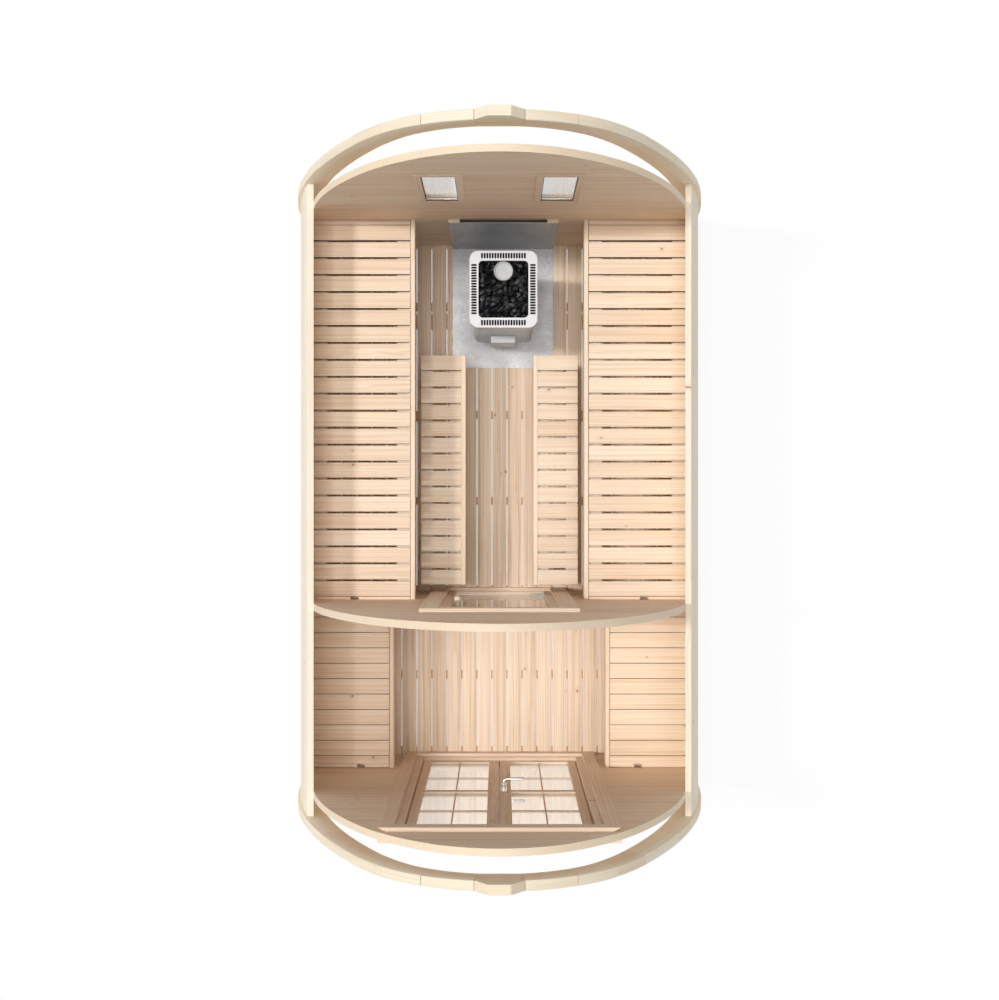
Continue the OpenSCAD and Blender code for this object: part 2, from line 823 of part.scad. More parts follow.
// The right leaf's wood: stiles and rails, with glazing bars on both faces of the glass
module leaf_with_bars() {
    union() {
        difference() {
            block([leaf_x0, leaf_out_y, leaf_z0], [leaf_x1, leaf_in_y, leaf_z1]);
            for (p = pane_z)
                block([pane_x0, leaf_out_y - eps, p[0]], [pane_x1, leaf_in_y + eps, p[1]]);
        }
        glazing_bars(glass_y + leaf_glass_t / 2, glass_y + bar_d / 2);
        glazing_bars(glass_y - bar_d / 2, glass_y - leaf_glass_t / 2);
    }
}

module leaf_panes() {
    for (p = pane_z)
        block([pane_x0, glass_y - leaf_glass_t / 2, p[0]], [pane_x1, glass_y + leaf_glass_t / 2, p[1]]);
}

module right_leaf() {
    color(pine) leaf_with_bars();
}

module left_leaf() {
    color(pine) mirror([1, 0, 0]) leaf_with_bars();
}

module right_leaf_panes() {
    color(clear_glass) leaf_panes();
}

module left_leaf_panes() {
    color(clear_glass) mirror([1, 0, 0]) leaf_panes();
}

// Hinges of the front door: a knuckle on the leaf above a knuckle on the frame
hinge_x = (leaf_x1 + door_w / 2) / 2;
hinge_y = leaf_out_y - hinge_off;
hinge_z = [leaf_z0 + hinge_end, (leaf_z0 + leaf_z1) / 2, leaf_z1 - hinge_end];

// A knuckle with its plate, which reaches to x_plate on the face of the wood
module knuckle(x_axis, y_axis, r, plate_x0, plate_x1, plate_y, z0) {
    union() {
        translate([x_axis, y_axis, z0]) cylinder(h = knuckle_h, r = r);
        block([plate_x0, plate_y - hinge_plate_t, z0], [plate_x1, plate_y, z0 + knuckle_h]);
    }
}

module leaf_hinges() {
    for (z = hinge_z)
        knuckle(hinge_x, hinge_y, hinge_r, hinge_x - hinge_plate_w, hinge_x, leaf_out_y, z + knuckle_gap);
}

module right_leaf_hinges() {
    color(steel) leaf_hinges();
}

module left_leaf_hinges() {
    color(steel) mirror([1, 0, 0]) leaf_hinges();
}

// Lever handle on both faces of the right leaf, with a round-ended plate
handle_x = leaf_x0 + handle_in;
lever_z = floor_h + lever_h;
plate_r = plate_w / 2;

// One face's plate, neck and lever; s is 1 on the inner face and -1 on the outer face
module handle_side(y, s) {
    plate_end = s > 0 ? y : y - plate_t;
    upright(plate_end, plate_end + plate_t)
        translate([handle_x, lever_z - plate_foot]) {
            for (z = [plate_r, plate_h - plate_r])
                translate([0, z]) circle(plate_r);
            translate([-plate_r, plate_r]) square([plate_w, plate_h - plate_w]);
        }
    translate([handle_x, y, lever_z]) rotate([-90 * s, 0, 0]) cylinder(h = lever_out - lever_r, r = lever_r);
    translate([handle_x, y + s * (lever_out - lever_r), lever_z]) sphere(lever_r);
    translate([handle_x, y + s * (lever_out - lever_r), lever_z]) rotate([0, 90, 0]) cylinder(h = lever_l, r = lever_r);
}

module right_leaf_handle() {
    color(steel) {
        handle_side(leaf_in_y, 1);
        handle_side(leaf_out_y, -1);
    }
}

// ---- Sauna door ----

sauna_glass_y1 = -partition_y - sauna_glass_in;
sauna_glass_y0 = sauna_glass_y1 - sauna_glass_t;
sauna_half_w = sauna_door_w / 2 - sauna_gap;
sauna_z0 = threshold_z + sauna_gap;
sauna_z1 = floor_h + sauna_door_h - sauna_gap;
clamp_z = [sauna_z0 + clamp_low, sauna_z1 - clamp_high];
sauna_hinge_x = sauna_half_w + clamp_r - 1;
sauna_hinge_y = sauna_glass_y0 - clamp_t;

module sauna_door_glass() {
    color(clear_glass)
        block([-sauna_half_w, sauna_glass_y0, sauna_z0], [sauna_half_w, sauna_glass_y1, sauna_z1]);
}

module sauna_door_clamps() {
    color(steel)
        for (z = clamp_z) {
            block([sauna_half_w - clamp_w, sauna_glass_y1, z + knuckle_gap],
                  [sauna_half_w, sauna_glass_y1 + clamp_t, z + knuckle_gap + knuckle_h]);
            union() {
                block([sauna_half_w - clamp_w, sauna_glass_y0 - clamp_t, z + knuckle_gap],
                      [sauna_half_w, sauna_glass_y0, z + knuckle_gap + knuckle_h]);
                translate([sauna_hinge_x, sauna_hinge_y, z + knuckle_gap]) cylinder(h = knuckle_h, r = clamp_r);
            }
        }
}

knob_x = -sauna_half_w + knob_in;

module knob_side(y, s) {
    translate([knob_x, y, floor_h + knob_h]) rotate([-90 * s, 0, 0]) cylinder(h = knob_neck + knob_d / 4, r = knob_d / 5);
    translate([knob_x, y + s * (knob_neck + knob_d / 2), floor_h + knob_h]) sphere(d = knob_d);
}

module sauna_door_knobs() {
    color(pale_pine) {
        knob_side(sauna_glass_y1, 1);
        knob_side(sauna_glass_y0, -1);
    }
}

// The fixed halves of every hinge
module frame_hinges() {
    color(steel) {
        both_sides()
            for (z = hinge_z)
                knuckle(hinge_x, hinge_y, hinge_r, hinge_x, hinge_x + hinge_plate_w, leaf_out_y, z - knuckle_h);
        for (z = clamp_z)
            union() {
                translate([sauna_hinge_x, sauna_hinge_y, z - knuckle_h]) cylinder(h = knuckle_h, r = clamp_r);
                block([sauna_hinge_x, sauna_hinge_y - clamp_r + 1, z - knuckle_h],
                      [sauna_door_w / 2, sauna_hinge_y + clamp_plate_d, z]);
            }
    }
}

// ---- Benches ----

// Slats across a bench from x0 to x1, laid from y0 towards y1; the last one is cut to fit
module slats(x0, x1, y0, y1, z, w, gap) {
    count = ceil((y1 - y0) / (w + gap));
    for (i = [0 : count - 1]) {
        y = y0 + i * (w + gap);
        block([x0, y, z - slat_t], [x1, min(y + w, y1), z]);
    }
}

upper_z = floor_h + upper_h;
lower_z = floor_h + lower_h;
porch_z = floor_h + porch_h;
upper_slat_x = upper_x + fascia_t;
upper_slat_x1 = wall_x(upper_z) - slat_end_gap;
upper_slat_y0 = -partition_y + slat_front_gap;
upper_slat_y1 = wall_y - slat_rear_gap;
// The slats' pitch is stretched a little so that whole slats fill the bench
upper_count = round((upper_slat_y1 - upper_slat_y0 + slat_gap) / (slat_w + slat_gap));
upper_pitch = (upper_slat_y1 - upper_slat_y0 + slat_gap) / upper_count;
lower_count = round((lower_l + slat_gap) / (slat_w + slat_gap));
lower_pitch = (lower_l + slat_gap) / lower_count;
lower_y0 = -partition_y + lower_start;
lower_x1 = upper_x - lower_gap;
porch_slat_x = porch_x + fascia_t;
porch_slat_x1 = wall_x(porch_z) - slat_end_gap;

module upper_slats() {
    color(pale_pine)
        slats(upper_slat_x, upper_slat_x1, upper_slat_y0, upper_slat_y1, upper_z,
              upper_pitch - slat_gap, slat_gap);
}

module upper_bench_slats_right() {
    upper_slats();
}

module upper_bench_slats_left() {
    mirror([1, 0, 0]) upper_slats();
}

module lower_slats() {
    color(pale_pine)
        slats(lower_x + fascia_t, lower_x1, lower_y0, lower_y0 + lower_l, lower_z,
              lower_pitch - slat_gap, slat_gap);
}

module lower_bench_slats_right() {
    lower_slats();
}

module lower_bench_slats_left() {
    mirror([1, 0, 0]) lower_slats();
}

module porch_slats() {
    color(pale_pine)
        difference() {
            mirror([0, 1, 0])
                slats(porch_slat_x, porch_slat_x1, -partition_front_y + porch_end_gap,
                      wall_y - porch_end_gap, porch_z, porch_slat_w, porch_slat_gap);
            block([notch_x - notch_w / 2, -wall_y, porch_z - slat_t - eps],
                  [notch_x + notch_w / 2, -wall_y + notch_d, porch_z + eps]);
        }
}

module porch_bench_slats_right() {
    porch_slats();
}

module porch_bench_slats_left() {
    mirror([1, 0, 0]) porch_slats();
}

// Two bearers of width w from x0 to x1 under the slats, and the fascia that fills the rest up to x
module rails(x, x0, x1, w, y0, y1, z) {
    block([x, y0, z - fascia_h], [x0 - trim_joint, y1, z]);
    for (bx = [x0, x1 - w])
        block([bx, y0, z - slat_t - bearer_d], [bx + w, y1, z - slat_t]);
}

upper_rail_x0 = upper_slat_x - fascia_joint + trim_joint;
upper_rail_x1 = upper_slat_x1 - upper_bearer_in;
lower_rail_x0 = lower_x + fascia_t;
porch_rail_x0 = porch_slat_x - fascia_joint + trim_joint;
porch_rail_x1 = porch_slat_x1;

module upper_bench_rails() {
    color(pine)
        both_sides()
            rails(upper_x, upper_rail_x0, upper_rail_x1, upper_bearer_w, -partition_y, wall_y, upper_z);
}

module lower_bench_rails() {
    color(pine)
        both_sides()
            rails(lower_x, lower_rail_x0, lower_x1, lower_bearer_w, lower_y0, lower_y0 + lower_l, lower_z);
}

module porch_bench_rails() {
    color(pine)
        both_sides()
            rails(porch_x, porch_rail_x0, porch_rail_x1, porch_bearer_w, -wall_y, partition_front_y, porch_z);
}

// A ledger screwed to a wall, under the ends of the bearers
module ledger(x0, x1, y0, z) {
    top = z - slat_t - bearer_d;
    block([x0, y0, top - ledger_d], [x1, y0 + ledger_t, top]);
}

// A strip on the bearers from x0 to x1, level with the upper slats
module strip(x0, x1, y0, y1) {
    block([x0, y0, upper_z - slat_t], [x1, y1, upper_z]);
}

module bench_ledgers() {
    color(pine)
        both_sides() {
            ledger(upper_rail_x0, upper_rail_x1, wall_y - ledger_t, upper_z);
            ledger(upper_rail_x0, upper_rail_x1, -partition_y, upper_z);
            ledger(porch_rail_x0, porch_rail_x1, partition_front_y - ledger_t, porch_z);
            ledger(porch_rail_x0, porch_rail_x1, -wall_y, porch_z);
            strip(upper_slat_x, upper_slat_x1, upper_slat_y1 + strip_joint, wall_y - strip_joint);
            // The front strip leaves the notch open
            strip(upper_slat_x, notch_x - notch_w / 2, -partition_y, upper_slat_y0 - strip_joint);
            strip(notch_x + notch_w / 2, upper_slat_x1, -partition_y, upper_slat_y0 - strip_joint);
        }
}

// Two legs under the bearers at one place along a bench
module leg_pair(x0, x1, w, y, z) {
    for (x = [x0, x1 - w])
        block([x, y - leg_t / 2, floor_h], [x + w, y + leg_t / 2, z - slat_t - bearer_d]);
}

module bench_legs() {
    color(pine)
        both_sides() {
            leg_pair(upper_rail_x0, upper_rail_x1, upper_bearer_w, (wall_y - partition_y) / 2, upper_z);
            for (y = [lower_y0 + leg_in, lower_y0 + lower_l - leg_in])
                leg_pair(lower_rail_x0, lower_x1, lower_bearer_w, y, lower_z);
            leg_pair(porch_rail_x0, porch_rail_x1, porch_bearer_w, -(wall_y - partition_front_y) / 2, porch_z);
        }
}

// ---- Heater corner ----

shield_y = wall_y - batten_t;
shield_x0 = heater_x - shield_w / 2;
shield_x1 = heater_x + shield_w / 2;
plate_z = floor_h + sheet_t;

module shield_battens() {
    color(pine)
        for (x = [shield_x0, shield_x1 - batten_w])
            block([x, shield_y, floor_h], [x + batten_w, wall_y, plate_z + shield_h]);
}

module heat_shield() {
    color(dark_steel)
        block([shield_x0, shield_y - sheet_t, plate_z], [shield_x1, shield_y, plate_z + shield_h]);
}

module floor_plate() {
    color(steel)
        block([shield_x0, shield_y - plate_l, floor_h], [shield_x1, shield_y, plate_z]);
}

heater_y1 = wall_y - heater_back;
heater_y0 = heater_y1 - heater_l;
heater_top = plate_z + heater_h;
heater_mid = (heater_y0 + heater_y1) / 2;
hole_w = heater_w - 2 * rim_w;
hole_l = heater_l - 2 * rim_end_w;
rim_z = heater_top - rim_t;

// A rounded rectangle round the heater's middle
module rounded(w, l, r) {
    translate([heater_x, heater_mid])
        hull()
            for (x = [-1, 1], y = [-1, 1])
                translate([x * (w / 2 - r), y * (l / 2 - r)]) circle(r, $fn = 32);
}

module heater_body() {
    w = heater_w - 2 * rim_overhang;
    l = heater_l - 2 * rim_overhang;
    r = rim_r - rim_overhang;
    color(steel)
        difference() {
            translate([0, 0, plate_z]) linear_extrude(rim_z - plate_z) rounded(w, l, r);
            translate([0, 0, plate_z + shell_t])
                linear_extrude(rim_z - plate_z) rounded(w - 2 * shell_t, l - 2 * shell_t, r - shell_t);
        }
}

module heater_rim() {
    color("whitesmoke")
        difference() {
            translate([0, 0, rim_z]) linear_extrude(rim_t) rounded(heater_w, heater_l, rim_r);
            translate([0, 0, rim_z - eps]) linear_extrude(rim_t + 2 * eps) rounded(hole_w, hole_l, hole_r);
            for (i = [0 : slots_front - 1], y = [heater_y0 + rim_end_w / 2, heater_y1 - rim_end_w / 2])
                translate([heater_x + (i - (slots_front - 1) / 2) * slot_pitch, y, rim_z + rim_t / 2])
                    cube([slot_w, slot_l, rim_t + 2 * eps], center = true);
            for (i = [0 : slots_side - 1], x = [-1, 1])
                translate([heater_x + x * (heater_w - rim_w) / 2,
                           heater_mid + (i - (slots_side - 1) / 2) * slot_pitch, rim_z + rim_t / 2])
                    cube([slot_l, slot_w, rim_t + 2 * eps], center = true);
        }
}

module heater_stones() {
    w = heater_w - 2 * rim_overhang - 2 * shell_t;
    l = heater_l - 2 * rim_overhang - 2 * shell_t;
    color("darkslategray")
        union() {
            translate([0, 0, rim_z - stone_d]) linear_extrude(stone_d) rounded(w, l, rim_r - rim_overhang - shell_t);
            translate([0, 0, rim_z]) linear_extrude(rim_t - stone_drop) rounded(hole_w, hole_l, hole_r);
        }
}

cup_y = heater_y1 - cup_back;
cup_z = heater_top - stone_drop;

module heater_cup() {
    color("white")
        difference() {
            translate([heater_x, cup_y, cup_z]) cylinder(h = cup_h, d = cup_d);
            translate([heater_x, cup_y, cup_z + cup_h - bowl_d]) cylinder(h = bowl_d + eps, d = cup_d - 2 * cup_t);
        }
}

module heater_control_box() {
    color("silver")
        block([heater_x - box_w / 2, heater_y0 + rim_overhang - box_d, floor_h + box_foot],
              [heater_x + box_w / 2, heater_y0 + rim_overhang, floor_h + box_foot + box_h]);
}

skids();
floor_joists();
hot_room_floor();
changing_room_floor();
left_side_wall();
right_side_wall();
rear_wall();
front_wall_left();
front_wall_right();
front_wall_head();
front_wall_sill();
partition_left();
partition_right();
partition_head();
partition_sill();
rear_hoop();
rear_ridge_block();
front_hoop();
front_ridge_block();
window_trims();
window_sashes();
window_panes();
front_door_frame();
front_door_casings();
sauna_door_frame();
sauna_door_casings();
upper_bench_slats_left();
upper_bench_slats_right();
upper_bench_rails();
lower_bench_slats_left();
lower_bench_slats_right();
lower_bench_rails();
porch_bench_slats_left();
porch_bench_slats_right();
porch_bench_rails();
bench_ledgers();
bench_legs();
shield_battens();
heat_shield();
floor_plate();
heater_body();
heater_rim();
heater_stones();
heater_cup();
heater_control_box();
left_leaf();
left_leaf_panes();
left_leaf_hinges();
right_leaf();
right_leaf_panes();
right_leaf_hinges();
right_leaf_handle();
sauna_door_glass();
sauna_door_clamps();
sauna_door_knobs();
frame_hinges();
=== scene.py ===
"""Dresses the sauna pod: its timber, glass, zinc sheet, enamel and stones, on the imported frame."""

import json
import logging
import math
import random
from dataclasses import dataclass, field
from enum import Enum
from typing import Any, Callable, Sequence

import bmesh
import bpy
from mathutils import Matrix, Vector

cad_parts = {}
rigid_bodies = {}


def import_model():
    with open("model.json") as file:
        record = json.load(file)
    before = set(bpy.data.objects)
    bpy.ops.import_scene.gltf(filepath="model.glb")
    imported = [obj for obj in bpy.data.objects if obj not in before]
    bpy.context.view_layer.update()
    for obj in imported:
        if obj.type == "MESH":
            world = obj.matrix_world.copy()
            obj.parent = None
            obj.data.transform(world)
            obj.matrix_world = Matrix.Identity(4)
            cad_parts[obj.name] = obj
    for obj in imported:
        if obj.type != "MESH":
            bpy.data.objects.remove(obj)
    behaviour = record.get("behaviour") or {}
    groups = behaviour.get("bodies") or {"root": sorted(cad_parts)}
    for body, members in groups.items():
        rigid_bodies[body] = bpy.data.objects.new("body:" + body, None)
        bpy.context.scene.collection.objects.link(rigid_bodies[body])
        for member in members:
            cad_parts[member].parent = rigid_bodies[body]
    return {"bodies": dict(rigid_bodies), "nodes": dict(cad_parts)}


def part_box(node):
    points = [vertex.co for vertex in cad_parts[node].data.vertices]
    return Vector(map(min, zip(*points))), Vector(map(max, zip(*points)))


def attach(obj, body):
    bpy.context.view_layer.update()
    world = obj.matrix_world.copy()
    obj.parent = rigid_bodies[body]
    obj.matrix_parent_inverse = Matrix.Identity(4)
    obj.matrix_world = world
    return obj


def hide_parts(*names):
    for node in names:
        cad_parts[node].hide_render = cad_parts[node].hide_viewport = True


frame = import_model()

log = logging.getLogger("sauna_pod")

Colour = tuple[float, ...]
Pair = tuple[float, float]
Point = tuple[float, float, float]
Axes = tuple[int, int, int]
Value = Any
Socket = bpy.types.NodeSocket
Material = bpy.types.Material

GRAIN = "grain"
SHIFT = "shift"
PIVOT = "pivot"
# faces stored under this name take painted shade: the long sides of slats, the drives of screws and the walls
# of the rim's slots
PAINTED_SHADE_FACES = "mark"

MM = 0.001
QUARTER = math.pi / 2
FULL_TURN = 6.28
ORIGIN = (0.0, 0.0, 0.0)
GRAIN_SPREAD = 40.0
SHARP_ANGLE = 0.35
FLAT_ANGLE = 0.002
CAD_WELD = 0.02 * MM
RIM_WELD = 0.01 * MM
NO_RADIUS = 1e-6


def srgb(*levels: int) -> Colour:
    """Turns a colour of 0 to 255 a channel into the linear colour that the shaders take."""
    shares = (level / 255 for level in levels)
    return tuple(s / 12.92 if s <= 0.04045 else ((s + 0.055) / 1.055) ** 2.4 for s in shares) + (1.0,)


def shade(colour: Colour, factor: float) -> Colour:
    """Returns a colour made darker or paler by a factor."""
    return tuple(min(level * factor, 1.0) for level in colour[:3]) + (1.0,)


def even(amount: float) -> Point:
    """Returns the same amount along all three axes."""
    return (amount, amount, amount)


# ---------------------------------------------------------------- node trees


class Graph:
    """A node tree with short calls for adding and joining its nodes."""

    def __init__(self, tree: bpy.types.NodeTree) -> None:
        """Keeps the tree that the calls add to."""
        self.tree = tree

    def add(self, kind: str, inputs: dict[Any, Value] | None = None, **settings: Value) -> bpy.types.Node:
        """Adds one node.

        Args:
            kind: the node's type name.
            inputs: what goes into its sockets, by name or number.
            settings: the node's own properties.

        Returns:
            The new node.
        """
        node = self.tree.nodes.new(kind)
        for name, value in settings.items():
            setattr(node, name, value)
        for name, value in (inputs or {}).items():
            self.put(node.inputs[name], value)
        return node

    def put(self, socket: Socket, value: Value) -> None:
        """Links another node's socket to this one, or sets it to a plain value.

        Args:
            socket: the input to fill.
            value: another node's socket, or a plain value.
        """
        if isinstance(value, Socket):
            self.tree.links.new(value, socket)
        else:
            socket.default_value = value

    def math(self, operation: str, *values: Value) -> Socket:
        """Returns the result of a Math node."""
        return self.add("ShaderNodeMath", dict(enumerate(values)), operation=operation).outputs[0]

    def plus(self, first: Value, second: Value) -> Socket:
        """Returns the sum of two values."""
        return self.math("ADD", first, second)

    def minus(self, first: Value, second: Value) -> Socket:
        """Returns the first value less the second."""
        return self.math("SUBTRACT", first, second)

    def times(self, first: Value, second: Value) -> Socket:
        """Returns two values multiplied."""
        return self.math("MULTIPLY", first, second)

    def total(self, *terms: tuple[Value, Value], clamp: bool = False) -> Socket:
        """Adds up values, each multiplied by its share.

        Args:
            terms: the values with their shares.
            clamp: whether the sum is held between 0 and 1.

        Returns:
            The sum's socket.
        """
        result = self.times(*terms[0])
        for term in terms[1:]:
            result = self.plus(result, self.times(*term))
        result.node.use_clamp = clamp
        return result

    def vector(self, operation: str, *values: Value) -> Socket:
        """Returns the vector that a Vector Math node makes."""
        return self.add(
            "ShaderNodeVectorMath", dict(enumerate(values)), operation=operation).outputs["Vector"]

    def length(self, vector: Value) -> Socket:
        """Returns a vector's length."""
        return self.add("ShaderNodeVectorMath", {0: vector}, operation="LENGTH").outputs["Value"]

    def parts(self, vector: Value) -> tuple[Socket, ...]:
        """Returns a vector's three parts."""
        return tuple(self.add("ShaderNodeSeparateXYZ", {0: vector}).outputs)

    def join(self, x: Value, y: Value, z: Value) -> Socket:
        """Returns the vector with these three parts."""
        return self.add("ShaderNodeCombineXYZ", {0: x, 1: y, 2: z}).outputs[0]

    def span(
            self, value: Value, low: Value, high: Value, to_low: Value = 0.0, to_high: Value = 1.0) -> Socket:
        """Returns a value brought smoothly from one span to another, and held at its ends."""
        sockets = {"Value": value, "From Min": low, "From Max": high, "To Min": to_low, "To Max": to_high}
        return self.add("ShaderNodeMapRange", sockets, interpolation_type="SMOOTHSTEP").outputs["Result"]


class Surface(Graph):
    """The node tree of one material, with calls for the textures that the finishes share."""

    def __init__(self, name: str) -> None:
        """Starts a material with a Principled surface and nothing else.

        Args:
            name: the material's name.
        """
        self.material = bpy.data.materials.new(name)
        self.material.use_nodes = True
        super().__init__(self.material.node_tree)
        self.tree.nodes.clear()
        self.shader = self.add("ShaderNodeBsdfPrincipled")
        self.output = self.add("ShaderNodeOutputMaterial", {"Surface": self.shader.outputs[0]})

    def place(self) -> Socket:
        """Returns the place on the piece, in the pod's own frame."""
        return self.add("ShaderNodeTexCoord").outputs["Object"]

    def noise(self, place: Value, stretch: Point, detail: float = 3.0, roughness: float = 0.55) -> Socket:
        """Returns soft noise of 0 to 1, with its own frequency along each axis.

        Args:
            place: the place that the noise is taken at.
            stretch: the frequency along each axis.
            detail: how many finer layers it has.
            roughness: how strong the finer layers are.

        Returns:
            The noise's socket.
        """
        sockets = {
            "Vector": self.vector("MULTIPLY", place, stretch), "Scale": 1.0, "Detail": detail,
            "Roughness": roughness}
        return self.add("ShaderNodeTexNoise", sockets).outputs["Fac"]

    def mix(self, share: Value, first: Value, second: Value) -> Socket:
        """Returns two colours mixed by a share."""
        sockets = {"Factor": share, "A": first, "B": second}
        return self.add("ShaderNodeMix", sockets, data_type="RGBA").outputs["Result"]

    def set(self, **sockets: Value) -> None:
        """Sets sockets of the Principled surface, named with underscores for spaces."""
        for name, value in sockets.items():
            self.put(self.shader.inputs[name.replace("_", " ")], value)

    def relief(self, height: Value, strength: float, depth: float) -> None:
        """Gives the surface a bump from a height of 0 to 1.

        Args:
            height: the height's socket.
            strength: how much of the bump shows.
            depth: metres from the lowest to the highest point.
        """
        bump = self.add("ShaderNodeBump", {"Strength": strength, "Distance": depth, "Height": height})
        self.set(Normal=bump.outputs[0])

    def show(self, share: Value, shader: bpy.types.Node) -> None:
        """Mixes another shader over the Principled surface by a share."""
        sockets = {0: share, 1: self.shader.outputs[0], 2: shader.outputs[0]}
        self.put(self.output.inputs["Surface"], self.add("ShaderNodeMixShader", sockets).outputs[0])


# ---------------------------------------------------------------- finishes


class Run(Enum):
    """Which way the grain runs: as each board says, or along the pod's axes."""

    OWN = ""
    PANEL = "XZY"


@dataclass(frozen=True)
class WoodFinish:
    """Planed softwood with growth rings, fibres, knots and a tone for each board, with painted shade on
    marked board sides and a painted highlight on faces that point up where asked.

    Each grid is a pattern's frequency along the grain, across the face and into the board.
    """

    name: str
    pale: Colour
    late: Colour
    knot: Colour = srgb(150, 96, 58)
    run: Run = Run.OWN
    knot_share: float = 0.35
    knot_cells: Point = (2.6, 8.5, 0.0)
    knot_radius: Pair = (3 * MM, 7 * MM)
    pith_depth: float = 0.035
    pith_drift: float = 0.05
    ring_gap: float = 0.0085
    ring_wander: float = 2.2
    ring_bend: float = 1.6
    ring_share: float = 0.42
    fibre_share: float = 0.22
    tone: float = 0.10
    streaks: float = 0.35
    roughness: float = 0.58
    relief: float = 0.25
    # painted shade: the marked long sides of boards are darkened by this share towards the colour below, for
    # the shade in the gaps between slats
    edge: float = 0.0
    painted_gap_shade: Colour = srgb(70, 41, 20)
    # painted highlight: faces that point up are made paler towards this colour, as if lit from above
    cut: Colour | None = None
    drift_grid: Point = (0.8, 0.0, 0.0)
    wander_grid: Point = (1.5, 14.0, 14.0)
    fibre_grid: Point = (5.0, 420.0, 420.0)
    streak_grid: Point = (0.8, 90.0, 90.0)
    cloud_grid: Point = (0.55, 3.4, 3.4)
    board_grid: Point = (0.05, 1.1, 1.1)
    rub_grid: Point = (3.0, 7.0, 7.0)

    def place(self, surface: Surface) -> Socket:
        """Returns the place along the grain, across the face and into the board.

        Args:
            surface: the material's tree.

        Returns:
            The place's socket.
        """
        if self.run is Run.OWN:
            return surface.add("ShaderNodeAttribute", attribute_name=GRAIN).outputs["Vector"]
        along = dict(zip("XYZ", surface.parts(surface.place())))
        return surface.join(*(along[axis] for axis in self.run.value))

    def knots(self, surface: Surface, place: Value) -> tuple[Socket, Socket]:
        """Finds the knots, which go straight through the board.

        Args:
            surface: the material's tree.
            place: the place in the board.

        Returns:
            The knot itself and the bent grain round it, both 0 to 1.
        """
        spread = surface.vector("MULTIPLY", place, self.knot_cells)
        cell = surface.add("ShaderNodeTexVoronoi", {"Vector": spread, "Scale": 1.0, "Randomness": 0.9})
        away = surface.vector("SUBTRACT", spread, cell.outputs["Position"])
        metres = (0.8 / self.knot_cells[0], 1 / self.knot_cells[1], 0.0)
        distance = surface.length(surface.vector("MULTIPLY", away, metres))
        chance, size, _ = surface.parts(cell.outputs["Color"])
        shown = surface.math("LESS_THAN", chance, self.knot_share)
        least, most = self.knot_radius
        radius = surface.math("MULTIPLY_ADD", size, most - least, least)
        heart = surface.span(distance, surface.times(radius, 1.15), surface.times(radius, 0.7))
        bend = surface.span(distance, surface.times(radius, 4.5), surface.times(radius, 0.8))
        return surface.times(heart, shown), surface.times(bend, shown)

    def rings(self, surface: Surface, place: Value, bend: Value) -> Socket:
        """Finds the dark late wood of the growth rings.

        Args:
            surface: the material's tree.
            place: the place in the board.
            bend: how far the knots bend the grain.

        Returns:
            The late wood, 0 to 1.
        """
        drift = surface.noise(place, self.drift_grid, 2.0)
        pith = surface.join(0.0, surface.times(drift, self.pith_drift), self.pith_depth)
        away = surface.length(surface.vector("MULTIPLY_ADD", place, (0.0, 1.0, 1.0), pith))
        wander = surface.noise(place, self.wander_grid)
        phase = surface.math("DIVIDE", away, self.ring_gap)
        phase = surface.plus(phase, surface.times(wander, self.ring_wander))
        phase = surface.math("FRACT", surface.plus(phase, surface.times(bend, self.ring_bend)))
        return surface.times(surface.math("POWER", phase, 3.0), surface.span(phase, 1.0, 0.93))

    def make(self) -> Material:
        """Builds the material.

        Returns:
            The material.
        """
        surface = Surface(self.name)
        place = self.place(surface)
        heart, bend = self.knots(surface, place)
        late = self.rings(surface, place, bend)
        fibres = surface.noise(place, self.fibre_grid, 2.0)
        streaks = surface.noise(place, self.streak_grid, 4.0, 0.62)
        cloud = surface.noise(place, self.cloud_grid, 2.0)
        board = surface.noise(place, ORIGIN if self.run is Run.PANEL else self.board_grid, 0.0)
        dark = surface.total(
            (late, self.ring_share), (surface.span(streaks, 0.38, 0.72), self.streaks),
            (surface.minus(fibres, 0.5), self.fibre_share),
            (surface.span(cloud, 0.3, 0.75), self.streaks * 0.5), (surface.minus(board, 0.5), self.tone * 6),
            clamp=True)
        colour = surface.mix(dark, self.pale, self.late)
        colour = surface.mix(surface.times(bend, 0.12), colour, self.knot)
        colour = surface.mix(surface.times(heart, 0.7), colour, self.knot)
        # painted shade: darkens the marked long sides of the boards, for the shade in the gaps between them
        if self.edge:
            side = surface.add("ShaderNodeAttribute", attribute_name=PAINTED_SHADE_FACES).outputs["Fac"]
            colour = surface.mix(surface.times(side, self.edge), colour, self.painted_gap_shade)
        # painted highlight: faces that point up are made paler, as if lit from above
        if self.cut:
            up = surface.parts(surface.add("ShaderNodeNewGeometry").outputs["Normal"])[2]
            colour = surface.mix(surface.times(surface.span(up, 0.1, 0.5), 0.75), colour, self.cut)
        rub = surface.times(surface.noise(place, self.rub_grid), 0.22)
        surface.set(Base_Color=colour, Roughness=surface.plus(rub, self.roughness - 0.11))
        surface.relief(surface.total((fibres, 0.6), (late, 0.4)), self.relief, 0.6 * MM)
        return surface.material


